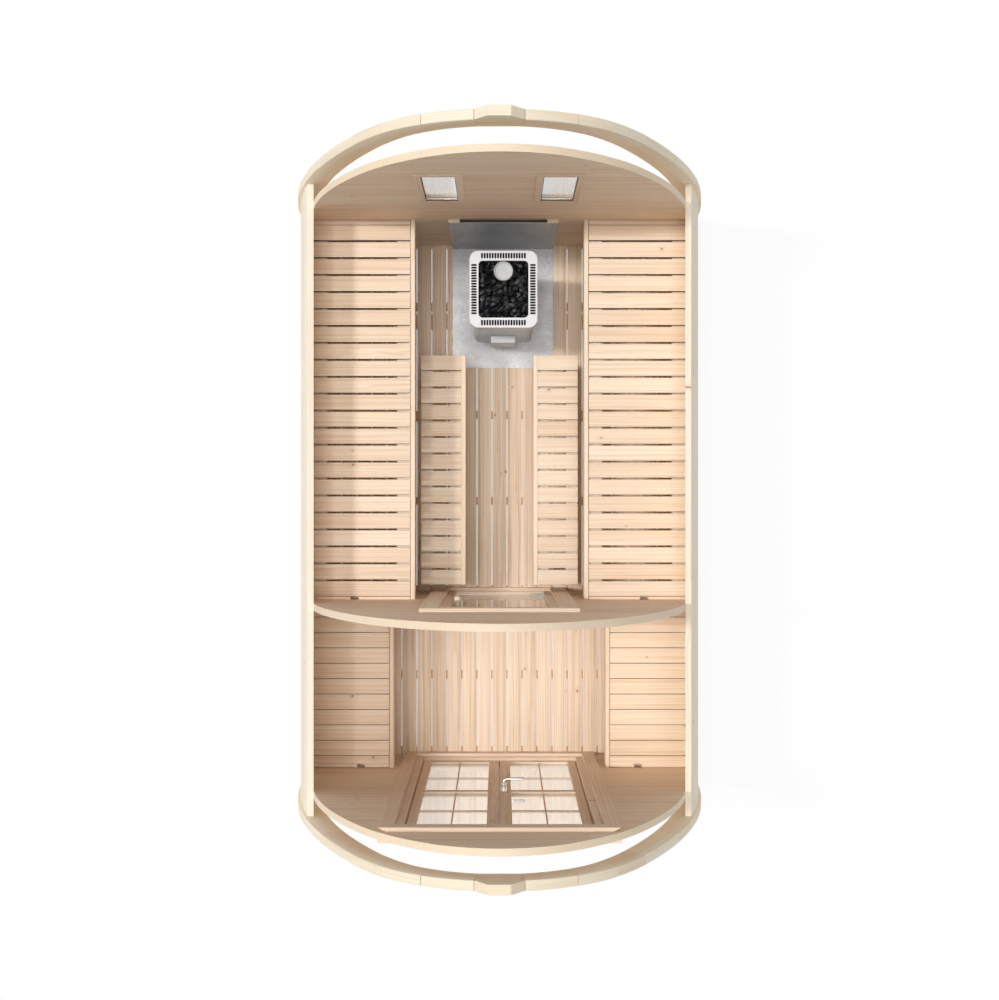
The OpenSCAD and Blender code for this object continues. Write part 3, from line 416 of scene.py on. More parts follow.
@dataclass(frozen=True)
class GlassFinish:
    """Clear glass with a faint tint and a little dust, which lets light through to what is behind."""

    name: str
    tint: Colour
    roughness: float = 0.02
    dust: Colour = (0.93, 0.94, 0.93, 1.0)
    shadow: Colour = (0.92, 0.93, 0.92, 1.0)

    def make(self) -> Material:
        """Builds the material.

        Returns:
            The material.
        """
        surface = Surface(self.name)
        place = surface.place()
        dust = surface.noise(place, (3.0, 3.0, 2.0), 4.0, 0.6)
        colour = surface.mix(surface.times(dust, 0.25), self.tint, self.dust)
        rough = surface.span(dust, 0.35, 0.9, self.roughness, self.roughness + 0.05)
        surface.set(Base_Color=colour, Roughness=rough, IOR=1.45)
        surface.shader.inputs["Transmission Weight"].default_value = 1.0
        surface.relief(surface.noise(place, (2.0, 2.0, 1.3), 1.0), 0.02, MM)
        path = surface.add("ShaderNodeLightPath")
        surface.show(
            path.outputs["Is Shadow Ray"], surface.add("ShaderNodeBsdfTransparent", {"Color": self.shadow}))
        return surface.material


@dataclass(frozen=True)
class MetalFinish:
    """Bare metal with fine brushing and finger marks."""

    name: str
    colour: Colour
    roughness: float = 0.16
    brushing: Point = (30.0, 30.0, 900.0)
    marks: Point = even(26.0)
    relief: float = 0.05

    def make(self) -> Material:
        """Builds the material.

        Returns:
            The material.
        """
        surface = Surface(self.name)
        place = surface.place()
        brushed = surface.noise(place, self.brushing)
        marks = surface.noise(place, self.marks, 4.0, 0.65)
        dulled = surface.times(surface.span(marks, 0.45, 0.8), 0.6)
        worn = surface.span(marks, 0.4, 0.85, self.roughness - 0.05, self.roughness + 0.12)
        surface.set(
            Base_Color=surface.mix(dulled, self.colour, shade(self.colour, 0.82)),
            Roughness=surface.plus(surface.times(brushed, 0.10), worn))
        surface.shader.inputs["Metallic"].default_value = 1.0
        surface.relief(brushed, self.relief, 0.3 * MM)
        return surface.material


@dataclass(frozen=True)
class ZincFinish:
    """Galvanised sheet: crystals of zinc, each with its own tone, under a thin grey film."""

    name: str
    colour: Colour
    spangle: float = 0.016
    metal: float = 0.55

    def make(self) -> Material:
        """Builds the material.

        Returns:
            The material.
        """
        surface = Surface(self.name)
        place = surface.place()
        waves = surface.add("ShaderNodeTexNoise", {"Vector": place, "Scale": 60.0}).outputs["Color"]
        bent = surface.vector("ADD", place, surface.vector("MULTIPLY", waves, even(6 * MM)))
        cell = surface.add("ShaderNodeTexVoronoi", {"Vector": bent, "Scale": 1 / self.spangle})
        tone, _, _ = surface.parts(cell.outputs["Color"])
        film = surface.noise(place, even(4.0), 4.0, 0.6)
        dark = shade(self.colour, 0.72)
        colour = surface.mix(tone, dark, shade(self.colour, 1.16))
        colour = surface.mix(surface.times(surface.span(film, 0.35, 0.8), 0.35), colour, dark)
        rough = surface.plus(surface.times(tone, 0.18), surface.span(film, 0.3, 0.8, 0.34, 0.5))
        surface.set(Base_Color=colour, Roughness=rough)
        surface.shader.inputs["Metallic"].default_value = self.metal
        surface.relief(tone, 0.12, 0.4 * MM)
        return surface.material


@dataclass(frozen=True)
class EnamelFinish:
    """Baked paint on steel: a fine orange peel, heat-yellowed patches and dust."""

    name: str
    colour: Colour
    warmed: Colour
    roughness: float = 0.38

    def make(self) -> Material:
        """Builds the material.

        Returns:
            The material.
        """
        surface = Surface(self.name)
        place = surface.place()
        peel = surface.noise(place, even(420.0), 2.0)
        warm = surface.noise(place, (7.0, 7.0, 5.0), 4.0, 0.6)
        specks = surface.noise(place, even(150.0), 3.0, 0.7)
        share = surface.total((surface.span(warm, 0.4, 0.8), 0.5), (surface.span(specks, 0.62, 0.8), 0.3))
        surface.set(
            Base_Color=surface.mix(share, self.colour, self.warmed),
            Roughness=surface.span(warm, 0.3, 0.8, self.roughness - 0.06, self.roughness + 0.14))
        surface.relief(peel, 0.12, 0.4 * MM)
        return surface.material


@dataclass(frozen=True)
class StoneFinish:
    """Dark rough rock with lighter crystals."""

    name: str
    dark: Colour
    pale: Colour

    def make(self) -> Material:
        """Builds the material.

        Returns:
            The material.
        """
        surface = Surface(self.name)
        place = surface.place()
        rock = surface.noise(place, even(60.0), 6.0, 0.7)
        crystals = surface.noise(place, even(400.0), 3.0, 0.7)
        share = surface.total(
            (surface.span(rock, 0.42, 0.78), 0.55), (surface.span(crystals, 0.6, 0.8), 0.5), clamp=True)
        surface.set(
            Base_Color=surface.mix(share, self.dark, self.pale),
            Roughness=surface.span(rock, 0.3, 0.8, 0.3, 0.7))
        surface.relief(rock, 0.8, 3 * MM)
        return surface.material


@dataclass(frozen=True)
class RubberFinish:
    """Black sealing strip with dust and scuffs."""

    name: str
    colour: Colour
    roughness: float = 0.7

    def make(self) -> Material:
        """Builds the material.

        Returns:
            The material.
        """
        surface = Surface(self.name)
        place = surface.place()
        dust = surface.noise(place, even(18.0), 4.0, 0.6)
        surface.set(
            Base_Color=surface.mix(surface.span(dust, 0.4, 0.85), self.colour, shade(self.colour, 2.4)),
            Roughness=surface.span(dust, 0.3, 0.8, self.roughness - 0.1, self.roughness + 0.15))
        surface.relief(surface.noise(place, even(700.0), 2.0), 0.2, 0.3 * MM)
        return surface.material


@dataclass
class Palette:
    """Every finish of the pod, made once."""

    # painted highlight: both panel finishes make their up-facing edges paler
    boards: WoodFinish = WoodFinish(
        "wall_boards", srgb(250, 232, 209), srgb(214, 181, 149), run=Run.PANEL, streaks=0.55, knot_share=0.08,
        cut=srgb(250, 230, 200))
    # painted shade: the partition's boards are the wall boards made darker, to offset the light that falls on
    # its faces
    inner: WoodFinish = WoodFinish(
        "partition_boards_painted_shade", srgb(242, 220, 198), srgb(206, 172, 142), run=Run.PANEL, streaks=0.55,
        knot_share=0.08, cut=srgb(250, 230, 200))
    siding: WoodFinish = WoodFinish(
        "siding_boards", srgb(255, 246, 228), srgb(236, 206, 172), knot_share=0.15)
    hoops: WoodFinish = WoodFinish("hoop_timber", srgb(255, 245, 222), srgb(240, 211, 176), knot_share=0.1)
    # the slats' long sides take painted shade for the gaps between them
    slats: WoodFinish = WoodFinish(
        "bench_aspen", srgb(250, 230, 206), srgb(226, 192, 157), knot_share=0.08, streaks=0.55, edge=0.9)
    floor: WoodFinish = WoodFinish(
        "floor_pine", srgb(250, 230, 206), srgb(214, 178, 143), knot_share=0.12, streaks=0.55)
    joinery: WoodFinish = WoodFinish("joinery_pine", srgb(246, 226, 204), srgb(214, 178, 144), knot_share=0.1)
    base: WoodFinish = WoodFinish(
        "sawn_base", srgb(190, 155, 112), srgb(140, 104, 68), streaks=0.6, roughness=0.85, relief=0.8)
    panes: GlassFinish = GlassFinish("clear_glass", (0.93, 0.88, 0.81, 1.0))
    windows: GlassFinish = GlassFinish("window_glass", (0.93, 0.95, 0.94, 1.0))
    smoked: GlassFinish = GlassFinish("sauna_glass", (0.51, 0.48, 0.45, 1.0))
    rubber: RubberFinish = RubberFinish("black_rubber", srgb(40, 38, 36))
    chrome: MetalFinish = MetalFinish("polished_chrome", (0.74, 0.75, 0.76, 1.0))
    satin: MetalFinish = MetalFinish("satin_chrome", (0.36, 0.36, 0.37, 1.0), roughness=0.3)
    screws: MetalFinish = MetalFinish("zinc_screws", (0.42, 0.40, 0.37, 1.0), roughness=0.4)
    plate: ZincFinish = ZincFinish("zinc_sheet", srgb(190, 190, 191), spangle=0.009, metal=0.35)
    shield: ZincFinish = ZincFinish("shield_sheet", srgb(196, 199, 202), spangle=0.009, metal=0.45)
    # painted light: the heater body's grey steel is tinted blue here, to cancel the warm light bounced off
    # the timber; the control box below is the same steel without that tint
    steel: EnamelFinish = EnamelFinish("heater_steel_cool_offset", srgb(217, 236, 252), srgb(203, 216, 227))
    box: EnamelFinish = EnamelFinish("control_box_steel", srgb(222, 225, 226), srgb(206, 208, 209))
    brushed: EnamelFinish = EnamelFinish(
        "satin_steel", srgb(198, 200, 199), srgb(168, 168, 166), roughness=0.45)
    enamel: EnamelFinish = EnamelFinish(
        "white_enamel", srgb(219, 220, 222), srgb(209, 208, 204), roughness=0.32)
    # painted shade: a near-black finish for the walls of the rim's slots, the sheet under them and the drives
    # of screws, standing for the shade inside them
    recess: RubberFinish = RubberFinish("painted_shade_black", srgb(14, 13, 12))
    stones: StoneFinish = StoneFinish("heater_stone", srgb(11, 11, 12), srgb(50, 49, 48))
    made: dict[str, Material] = field(default_factory=dict)

    def get(self, name: str) -> Material:
        """Returns the material of the named finish, and builds it when it is first asked for.

        Args:
            name: the finish's name in the palette.

        Returns:
            The material.
        """
        if name not in self.made:
            self.made[name] = getattr(self, name).make()
        return self.made[name]


# ---------------------------------------------------------------- meshes


@dataclass
class Solid:
    """One closed solid, as corners and flat faces."""

    corners: list[Vector]
    faces: list[list[int]]

    @property
    def box(self) -> "Box":
        """The box round the solid."""
        return Box(*(Vector([end(c[i] for c in self.corners) for i in range(3)]) for end in (min, max)))


@dataclass
class Box:
    """A box from its low corner to its high corner."""

    low: Vector
    high: Vector

    @property
    def size(self) -> Vector:
        """The box's three sides."""
        return self.high - self.low

    @property
    def middle(self) -> Vector:
        """The box's middle."""
        return (self.low + self.high) / 2

    @property
    def run(self) -> Axes:
        """The axes along, across and into a board of this size: longest, middle and shortest."""
        along, across, into = sorted(range(3), key=lambda axis: -self.size[axis])
        return along, across, into

    def ends(self, axis: int) -> Pair:
        """Returns where the box starts and ends along an axis."""
        return self.low[axis], self.high[axis]

    def solid(self) -> Solid:
        """Returns the box as a solid.

        Returns:
            The solid.
        """
        corners = [Vector((x, y, z)) for x in self.ends(0) for y in self.ends(1) for z in self.ends(2)]
        return Solid(
            corners, [[0, 1, 3, 2], [4, 6, 7, 5], [0, 4, 5, 1], [2, 3, 7, 6], [0, 2, 6, 4], [1, 5, 7, 3]])


def block(x: Pair, y: Pair, z: Pair) -> Solid:
    """Returns a box as a solid, from where it starts and ends along each axis."""
    return Box(*(Vector(corner) for corner in zip(x, y, z))).solid()


def framed(x: Pair, z: Pair, width: float, depth: Pair) -> list[Solid]:
    """Returns the four members of an upright frame: two stiles, and two rails between them.

    Args:
        x: where the frame starts and ends across the pod.
        z: its foot and its top.
        width: the members' width.
        depth: the Y of its front and back.

    Returns:
        The members.
    """
    inside = (x[0] + width, x[1] - width)
    spans = [
        ((x[0], inside[0]), z), ((inside[1], x[1]), z), (inside, (z[0], z[0] + width)),
        (inside, (z[1] - width, z[1]))]
    return [block(across, depth, upright) for across, upright in spans]


def solids_of(node: str) -> list[Solid]:
    """Takes a CAD node apart into its closed solids, with its flat faces made whole.

    Args:
        node: the CAD node's name.

    Returns:
        The solids, from the lowest corner's X, Y and Z upwards.
    """
    mesh = bmesh.new()
    mesh.from_mesh(frame["nodes"][node].data)
    bmesh.ops.remove_doubles(mesh, verts=mesh.verts, dist=CAD_WELD)
    bmesh.ops.dissolve_limit(mesh, angle_limit=FLAT_ANGLE, verts=mesh.verts, edges=mesh.edges)
    mesh.verts.index_update()
    left = set(mesh.verts)
    solids = []
    while left:
        group, edge = set(), [left.pop()]
        while edge:
            vertex = edge.pop()
            group.add(vertex)
            for other in (link.other_vert(vertex) for link in vertex.link_edges):
                if other in left:
                    left.discard(other)
                    edge.append(other)
        order = {vertex: i for i, vertex in enumerate(sorted(group, key=lambda v: v.index))}
        faces = sorted({face for vertex in group for face in vertex.link_faces}, key=lambda f: f.index)
        solids.append(Solid([v.co.copy() for v in order], [[order[v] for v in face.verts] for face in faces]))
    mesh.free()
    return sorted(solids, key=lambda s: tuple(round(v, 5) for v in s.box.low))


def boxes_of(node: str) -> list[Box]:
    """Returns the boxes round a CAD node's solids."""
    return [solid.box for solid in solids_of(node)]


def box_of(node: str) -> Box:
    """Returns the box round a whole CAD node."""
    return Box(*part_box(node))


class Piece:
    """Gathers the vertices, faces and grain of one mesh, and makes the finished object of them."""

    def __init__(self, name: str, seed: int = 1) -> None:
        """Starts an empty piece; the seed sets where each board's grain begins.

        Args:
            name: the piece's name.
            seed: sets where each board's grain begins.
        """
        self.name = name
        self.random = random.Random(seed)
        self.points: list[Vector] = []
        self.faces: list[list[int]] = []
        self.grain: list[Vector] = []
        self.smooth: list[bool] = []

    def take(self, mesh: bmesh.types.BMesh, grain: Callable[[Vector], Vector], smooth: bool = False) -> None:
        """Adds a bmesh to the piece and frees it.

        Args:
            mesh: the part to add.
            grain: gives the place along, across and into the board for a point.
            smooth: whether its faces are shaded smooth.
        """
        bmesh.ops.recalc_face_normals(mesh, faces=mesh.faces)
        start = len(self.points)
        mesh.verts.index_update()
        for vertex in mesh.verts:
            self.points.append(vertex.co.copy())
            self.grain.append(grain(vertex.co))
        for face in mesh.faces:
            self.faces.append([start + v.index for v in face.verts])
            self.smooth.append(smooth)
        mesh.free()

    def board(self, solid: Solid, ease: float = 1.5 * MM, run: Axes | None = None) -> None:
        """Adds a board with eased edges and a grain of its own.

        Args:
            solid: the board's shape.
            ease: the rounding of its edges.
            run: the axes along, across and into the board; by its size if left out.
        """
        mesh = bmesh.new()
        corners = [mesh.verts.new(corner) for corner in solid.corners]
        for face in solid.faces:
            mesh.faces.new([corners[i] for i in face])
        bmesh.ops.recalc_face_normals(mesh, faces=mesh.faces)
        sharp = [edge for edge in mesh.edges if edge.calc_face_angle(0.0) > SHARP_ANGLE]
        bmesh.ops.bevel(
            mesh, geom=sharp, offset=ease, segments=2, profile=0.5, affect="EDGES", clamp_overlap=True)
        axes = run or solid.box.run
        middle = solid.box.middle
        shift = Vector([self.random.uniform(0, GRAIN_SPREAD) for _ in range(3)])
        self.take(mesh, lambda co: Vector([co[a] - middle[a] for a in axes]) + shift)

    def skin(self, rings: Sequence[tuple[Vector, Vector, float, float]], steps: int) -> None:
        """Adds a round part with closed ends.

        Args:
            rings: for each ring, a point of the axis, the axis there, the distance along it and the radius.
            steps: how many facets go round.
        """
        mesh = bmesh.new()
        loops = []
        for place, axis, along, radius in rings:
            turn = axis.to_track_quat("Z", "Y").to_matrix()
            angles = [2 * math.pi * i / steps for i in range(steps)]
            spots = [
                (radius * math.cos(a), radius * math.sin(a))
                for a in angles] if radius > NO_RADIUS else [(0, 0)]
            loops.append([mesh.verts.new(place + turn @ Vector((x, y, along))) for x, y in spots])
        for first, second in zip(loops, loops[1:]):
            for i in range(steps):
                corners = [
                    first[i % len(first)], first[(i + 1) % len(first)], second[(i + 1) % len(second)],
                    second[i % len(second)]]
                unique = list(dict.fromkeys(corners))
                if len(unique) > 2:
                    mesh.faces.new(unique)
        for loop in (loops[0], loops[-1]):
            if len(loop) > 2:
                mesh.faces.new(loop)
        self.take(mesh, lambda co: co.copy(), smooth=True)

    def lathe(self, profile: Sequence[Pair], centre: Vector, axis: Vector, steps: int = 32) -> None:
        """Adds a turned part.

        Args:
            profile: distance along the axis and radius, from one end to the other.
            centre: where the axis starts.
            axis: the direction of the axis.
            steps: how many facets go round.
        """
        self.skin([(centre, axis.normalized(), along, radius) for along, radius in profile], steps)

    def tube(self, path: Sequence[Vector], radius: float, steps: int = 20) -> None:
        """Adds a round bar along a path, with domed ends.

        Args:
            path: the bar's middle line.
            radius: the bar's radius.
            steps: how many facets go round.
        """
        last = len(path) - 1
        bar = [
            (point, (path[min(i + 1, last)] - path[max(i - 1, 0)]).normalized(), 0, radius)
            for i, point in enumerate(path)]
        (start, outset, *_), (end, ahead, *_) = bar[0], bar[-1]
        domes = [(math.sin(a), math.cos(a)) for a in (1.25, 0.8, 0.4)]
        head = [(start - outset * radius * out, outset, 0, radius * share) for out, share in domes]
        tail = [(end + ahead * radius * out, ahead, 0, radius * share) for out, share in reversed(domes)]
        self.skin(head + bar + tail, steps)

    def finish(self, material: Material) -> bpy.types.Object:
        """Makes the object at the origin, with its place in its mesh.

        Args:
            material: the piece's finish.

        Returns:
            The object.
        """
        mesh = bpy.data.meshes.new(self.name)
        mesh.from_pydata([tuple(p) for p in self.points], [], self.faces)
        layer = mesh.attributes.new(GRAIN, "FLOAT_VECTOR", "POINT")
        layer.data.foreach_set("vector", [part for grain in self.grain for part in grain])
        mesh.polygons.foreach_set("use_smooth", self.smooth)
        mesh.materials.append(material)
        mesh.update()
        return linked(self.name, mesh)


def linked(name: str, data: bpy.types.ID) -> bpy.types.Object:
    """Makes an object of a mesh, lamp or camera and puts it in the scene.

    Args:
        name: the object's name.
        data: its mesh, lamp or camera.

    Returns:
        The object.
    """
    piece = bpy.data.objects.new(name, data)
    bpy.context.scene.collection.objects.link(piece)
    return piece


def dressed(piece: bpy.types.Object, body: str, slot: str, *nodes: str) -> None:
    """Hands a finished piece to the frame.

    Args:
        piece: the object.
        body: the body that it moves with.
        slot: the material slot; not used.
        nodes: the CAD nodes that it stands for.
    """
    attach(piece, body)
    if nodes:
        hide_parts(*nodes)
    log.info("%s: %d faces on %s", piece.name, len(piece.data.polygons), body)


# ---------------------------------------------------------------- geometry node trees


class Workshop(Graph):
    """A Geometry Nodes tree with named inputs, and the call that makes a plain mesh of it."""

    KINDS = {
        float: "NodeSocketFloat", int: "NodeSocketInt", Vector: "NodeSocketVector",
        Material: "NodeSocketMaterial"}

    def __init__(self, name: str, inputs: dict[type, str]) -> None:
        """Starts a tree that takes a geometry and the named inputs, and gives a geometry.

        Args:
            name: the tree's name.
            inputs: the names of its inputs for each type, with commas between them.
        """
        super().__init__(bpy.data.node_groups.new(name, "GeometryNodeTree"))
        face = self.tree.interface
        face.new_socket("Geometry", in_out="INPUT", socket_type="NodeSocketGeometry")
        face.new_socket("Geometry", in_out="OUTPUT", socket_type="NodeSocketGeometry")
        self.names = {}
        for kind, labels in inputs.items():
            for label in labels.split(", "):
                socket = face.new_socket(label, in_out="INPUT", socket_type=self.KINDS[kind])
                self.names[label] = socket.identifier
        self.given = self.add("NodeGroupInput")
        self.result = self.add("NodeGroupOutput")

    def ask(self, label: str) -> Socket:
        """Returns the socket of a named input."""
        return self.given.outputs[label]

    def step(self, kind: str, inputs: dict[Any, Value] | None = None, **settings: Value) -> Socket:
        """Adds a Geometry Nodes step and returns its first output."""
        return self.add(f"GeometryNode{kind}", inputs, **settings).outputs[0]

    def joined(self, *parts: Socket) -> Socket:
        """Returns several geometries as one.

        Args:
            parts: the geometries, in the order in which they are joined.

        Returns:
            The joined geometry.
        """
        both = self.add("GeometryNodeJoinGeometry")
        for part in parts:
            self.tree.links.new(part, both.inputs[0])
        return both.outputs[0]

    def close(self, geometry: Socket, material: Value, only: Value = True) -> None:
        """Ends the tree in plain geometry with its material, or with it on the chosen faces only.

        Args:
            geometry: what the tree has made.
            material: its finish.
            only: the faces that take the finish.
        """
        real = self.step("RealizeInstances", {"Geometry": geometry})
        painted = self.step("SetMaterial", {"Geometry": real, "Selection": only, "Material": material})
        self.put(self.result.inputs[0], painted)

    def store(
            self, geometry: Value, name: str, value: Value, kind: str = "FLOAT_VECTOR",
            domain: str = "POINT") -> Socket:
        """Keeps a value on the geometry under a name."""
        sockets = {"Geometry": geometry, "Name": name, "Value": value}
        return self.step("StoreNamedAttribute", sockets, data_type=kind, domain=domain)

    def mark(self, geometry: Value, chosen: Value) -> Socket:
        """Marks the chosen faces, which take painted shade."""
        return self.store(geometry, PAINTED_SHADE_FACES, chosen, "BOOLEAN", "FACE")

    def named(self, name: str, kind: str = "FLOAT_VECTOR") -> Socket:
        """Returns a value kept under a name."""
        return self.add(
            "GeometryNodeInputNamedAttribute", {"Name": name}, data_type=kind).outputs["Attribute"]

    def spot(self) -> Socket:
        """Returns the position."""
        return self.step("InputPosition")

    def scaled(self, vector: Value, factor: Value) -> Socket:
        """Returns a vector made longer or shorter by a factor."""
        return self.add(
            "ShaderNodeVectorMath", {0: vector, "Scale": factor}, operation="SCALE").outputs["Vector"]

    def scatter(self, low: Point, high: Point, offset: float | None = None) -> Socket:
        """Returns a random vector for each item between low and high, by the tree's seed and an offset.

        Args:
            low: the least along each axis.
            high: the most along each axis.
            offset: what is added to the tree's seed, if anything.

        Returns:
            The vector's socket.
        """
        node = self.add("FunctionNodeRandomValue", data_type="FLOAT_VECTOR")
        shown = [s for s in node.inputs if s.enabled]
        self.put(shown[0], low)
        self.put(shown[1], high)
        seed = self.ask("Seed")
        self.put(node.inputs["Seed"], seed if offset is None else self.plus(seed, offset))
        return [s for s in node.outputs if s.enabled][0]

    def section(self, width: Value, height: Value, ease: Value, steps: int = 2) -> Socket:
        """Returns a closed section with rounded corners."""
        outline = self.step("CurvePrimitiveQuadrilateral", {"Width": width, "Height": height})
        return self.step("FilletCurve", {"Curve": outline, "Radius": ease, "Count": steps}, mode="POLY")

    def sweep(self, line: Socket) -> Socket:
        """Returns the tree's board section swept along a line, with closed ends."""
        section = self.section(self.ask("Width"), self.ask("Thickness"), self.ask("Ease"))
        return self.step("CurveToMesh", {"Curve": line, "Profile Curve": section, "Fill Caps": True})

    def plank(self, way: Callable[[Value], Socket]) -> Socket:
        """Returns a straight board through the origin.

        Args:
            way: turns a distance from the middle into a place.

        Returns:
            The board.
        """
        half = self.times(self.ask("Length"), 0.5)
        return self.sweep(
            self.step("CurvePrimitiveLine", {"Start": way(self.times(half, -1.0)), "End": way(half)}))

    def grained(self, boards: Socket) -> Socket:
        """Makes laid boards real, each with its own start of the grain.

        Args:
            boards: the boards as they are laid.

        Returns:
            The real boards.
        """
        shifted = self.store(boards, SHIFT, self.scatter(ORIGIN, even(GRAIN_SPREAD)), domain="INSTANCE")
        real = self.step("RealizeInstances", {"Geometry": shifted})
        return self.store(real, GRAIN, self.vector("ADD", self.named(GRAIN), self.named(SHIFT)))

    def grid(self) -> Socket:
        """Returns the points of the tree's grid."""
        sides = {"Size X": "Width", "Size Y": "Length", "Vertices X": "Columns", "Vertices Y": "Rows"}
        return self.step("MeshGrid", {socket: self.ask(label) for socket, label in sides.items()})

    def make(
            self, name: str, values: dict[str, Value],
            host: bpy.types.Mesh | None = None) -> bpy.types.Object:
        """Runs the tree and leaves a plain mesh.

        Args:
            name: the object's name.
            values: what goes into the named inputs.
            host: the mesh that the tree starts from, such as a path.

        Returns:
            The object at the origin, with no modifier.
        """
        piece = linked(name, host or bpy.data.meshes.new(name))
        modifier = piece.modifiers.new("build", "NODES")
        modifier.node_group = self.tree
        for label, value in values.items():
            modifier[self.names[label]] = value
        piece.update_tag()
        graph = bpy.context.evaluated_depsgraph_get()
        mesh = bpy.data.meshes.new_from_object(piece.evaluated_get(graph))
        piece.modifiers.clear()
        piece.data = mesh
        mesh.name = name
        work = bmesh.new()
        work.from_mesh(mesh)
        bmesh.ops.recalc_face_normals(work, faces=work.faces)
        work.to_mesh(mesh)
        work.free()
        return piece


def board_row() -> Workshop:
    """Builds the tree for boards laid side by side, each with eased edges, its own grain and its long sides
    marked for painted shade.

    Returns:
        The tree.
    """
    tree = Workshop(
        "board_row",
        {
            float: "Length, Width, Thickness, Ease, Pitch", int: "Count, Seed", Vector: "Turn, Start",
            Material: "Finish"})
    board = tree.store(tree.plank(lambda far: tree.join(far, 0.0, 0.0)), GRAIN, tree.spot())
    step = tree.join(0.0, tree.ask("Pitch"), 0.0)
    places = tree.step("MeshLine", {"Count": tree.ask("Count"), "Offset": step})
    laid = tree.grained(tree.step("InstanceOnPoints", {"Points": places, "Instance": board}))
    # the long sides of each board are marked for painted shade in the gaps between boards
    _, side, _ = tree.parts(tree.step("InputNormal"))
    marked = tree.mark(laid, tree.math("GREATER_THAN", tree.math("ABSOLUTE", side), 0.5))
    placed = tree.step(
        "Transform", {"Geometry": marked, "Rotation": tree.ask("Turn"), "Translation": tree.ask("Start")})
    tree.close(placed, tree.ask("Finish"))
    return tree


def screw_rows() -> Workshop:
    """Builds the tree for rows of screw heads, each a low dome with its drive as a near-black hexagon of
    painted shade.

    Returns:
        The tree.
    """
    tree = Workshop(
        "screw_rows",
        {
            int: "Columns, Rows", float: "Width, Length, Radius", Vector: "Turn, Centre",
            Material: "Finish, Recess"})
    radius = tree.ask("Radius")
    head = tree.step(
        "MeshCone",
        {"Vertices": 12, "Radius Top": tree.times(radius, 0.8), "Radius Bottom": radius, "Depth": 0.8 * MM})
    drive = tree.step("MeshCylinder", {"Vertices": 6, "Radius": tree.times(radius, 0.42), "Depth": MM})
    raised = tree.step("Transform", {"Geometry": drive, "Translation": (0.0, 0.0, 0.5 * MM)})
    bright = tree.step("SetMaterial", {"Geometry": head, "Material": tree.ask("Finish")})
    # painted shade: the drive is marked for the near-black finish, standing for the shade in its hole
    screw = tree.joined(tree.mark(raised, True), bright)
    driven = tree.step("InstanceOnPoints", {"Points": tree.grid(), "Instance": screw})
    placed = tree.step(
        "Transform", {"Geometry": driven, "Rotation": tree.ask("Turn"), "Translation": tree.ask("Centre")})
    tree.close(placed, tree.ask("Recess"), tree.named(PAINTED_SHADE_FACES, "BOOLEAN"))
    return tree


def bent_boards() -> Workshop:
    """Builds the tree that sweeps a board along each arc of a path drawn flat, then stands the path up.

    Returns:
        The tree.
    """
    tree = Workshop("bent_boards", {float: "Width, Thickness, Ease, Middle", Material: "Finish"})
    curve = tree.step("MeshToCurve", {"Mesh": tree.ask("Geometry")})
    swept = tree.sweep(tree.step("SetCurveNormal", {"Curve": curve}, mode="Z_UP"))
    x, y, z = tree.parts(tree.spot())
    centre_x, centre_y, radius = tree.parts(tree.named(PIVOT))
    right, up = tree.minus(x, centre_x), tree.minus(y, centre_y)
    along = tree.times(tree.math("ARCTAN2", right, up), radius)
    place = tree.join(along, tree.length(tree.join(right, up, 0.0)), z)
    grained = tree.store(swept, GRAIN, tree.vector("ADD", place, tree.named(SHIFT)))
    stood = tree.step(
        "Transform",
        {
            "Geometry": grained, "Rotation": (QUARTER, 0.0, 0.0),
            "Translation": tree.join(0.0, tree.ask("Middle"), 0.0)})
    tree.close(stood, tree.ask("Finish"))
    return tree


def siding_boards() -> Workshop:
    """Builds the tree that sets long boards edge to edge up a curved wall, cut level at its foot and its top.

    Returns:
        The tree.
    """
    tree = Workshop(
        "siding_boards",
        {float: "Length, Width, Thickness, Ease, Top, Lean", int: "Seed", Material: "Finish"})
    x, y, z = tree.parts(tree.spot())
    board = tree.store(tree.plank(lambda far: tree.join(0.0, 0.0, far)), GRAIN, tree.join(z, x, y))
    curve = tree.step("MeshToCurve", {"Mesh": tree.ask("Geometry")})
    facing = tree.add(
        "FunctionNodeAlignRotationToVector", {"Vector": tree.step("InputTangent")}, axis="X",
        pivot_axis="Z").outputs[0]
    nailed = tree.step("InstanceOnPoints", {"Points": curve, "Instance": board, "Rotation": facing})
    wall = tree.grained(nailed)
    top = tree.ask("Top")
    held = tree.math("MINIMUM", tree.math("MAXIMUM", y, 0.0), top)
    over = tree.times(tree.math("MAXIMUM", tree.minus(y, top), 0.0), tree.ask("Lean"))
    out = tree.times(tree.math("SIGN", x), over)
    cut = tree.step("SetPosition", {"Geometry": wall, "Position": tree.join(tree.plus(x, out), held, z)})
    tree.close(tree.step("Transform", {"Geometry": cut, "Rotation": (QUARTER, 0.0, 0.0)}), tree.ask("Finish"))
    return tree


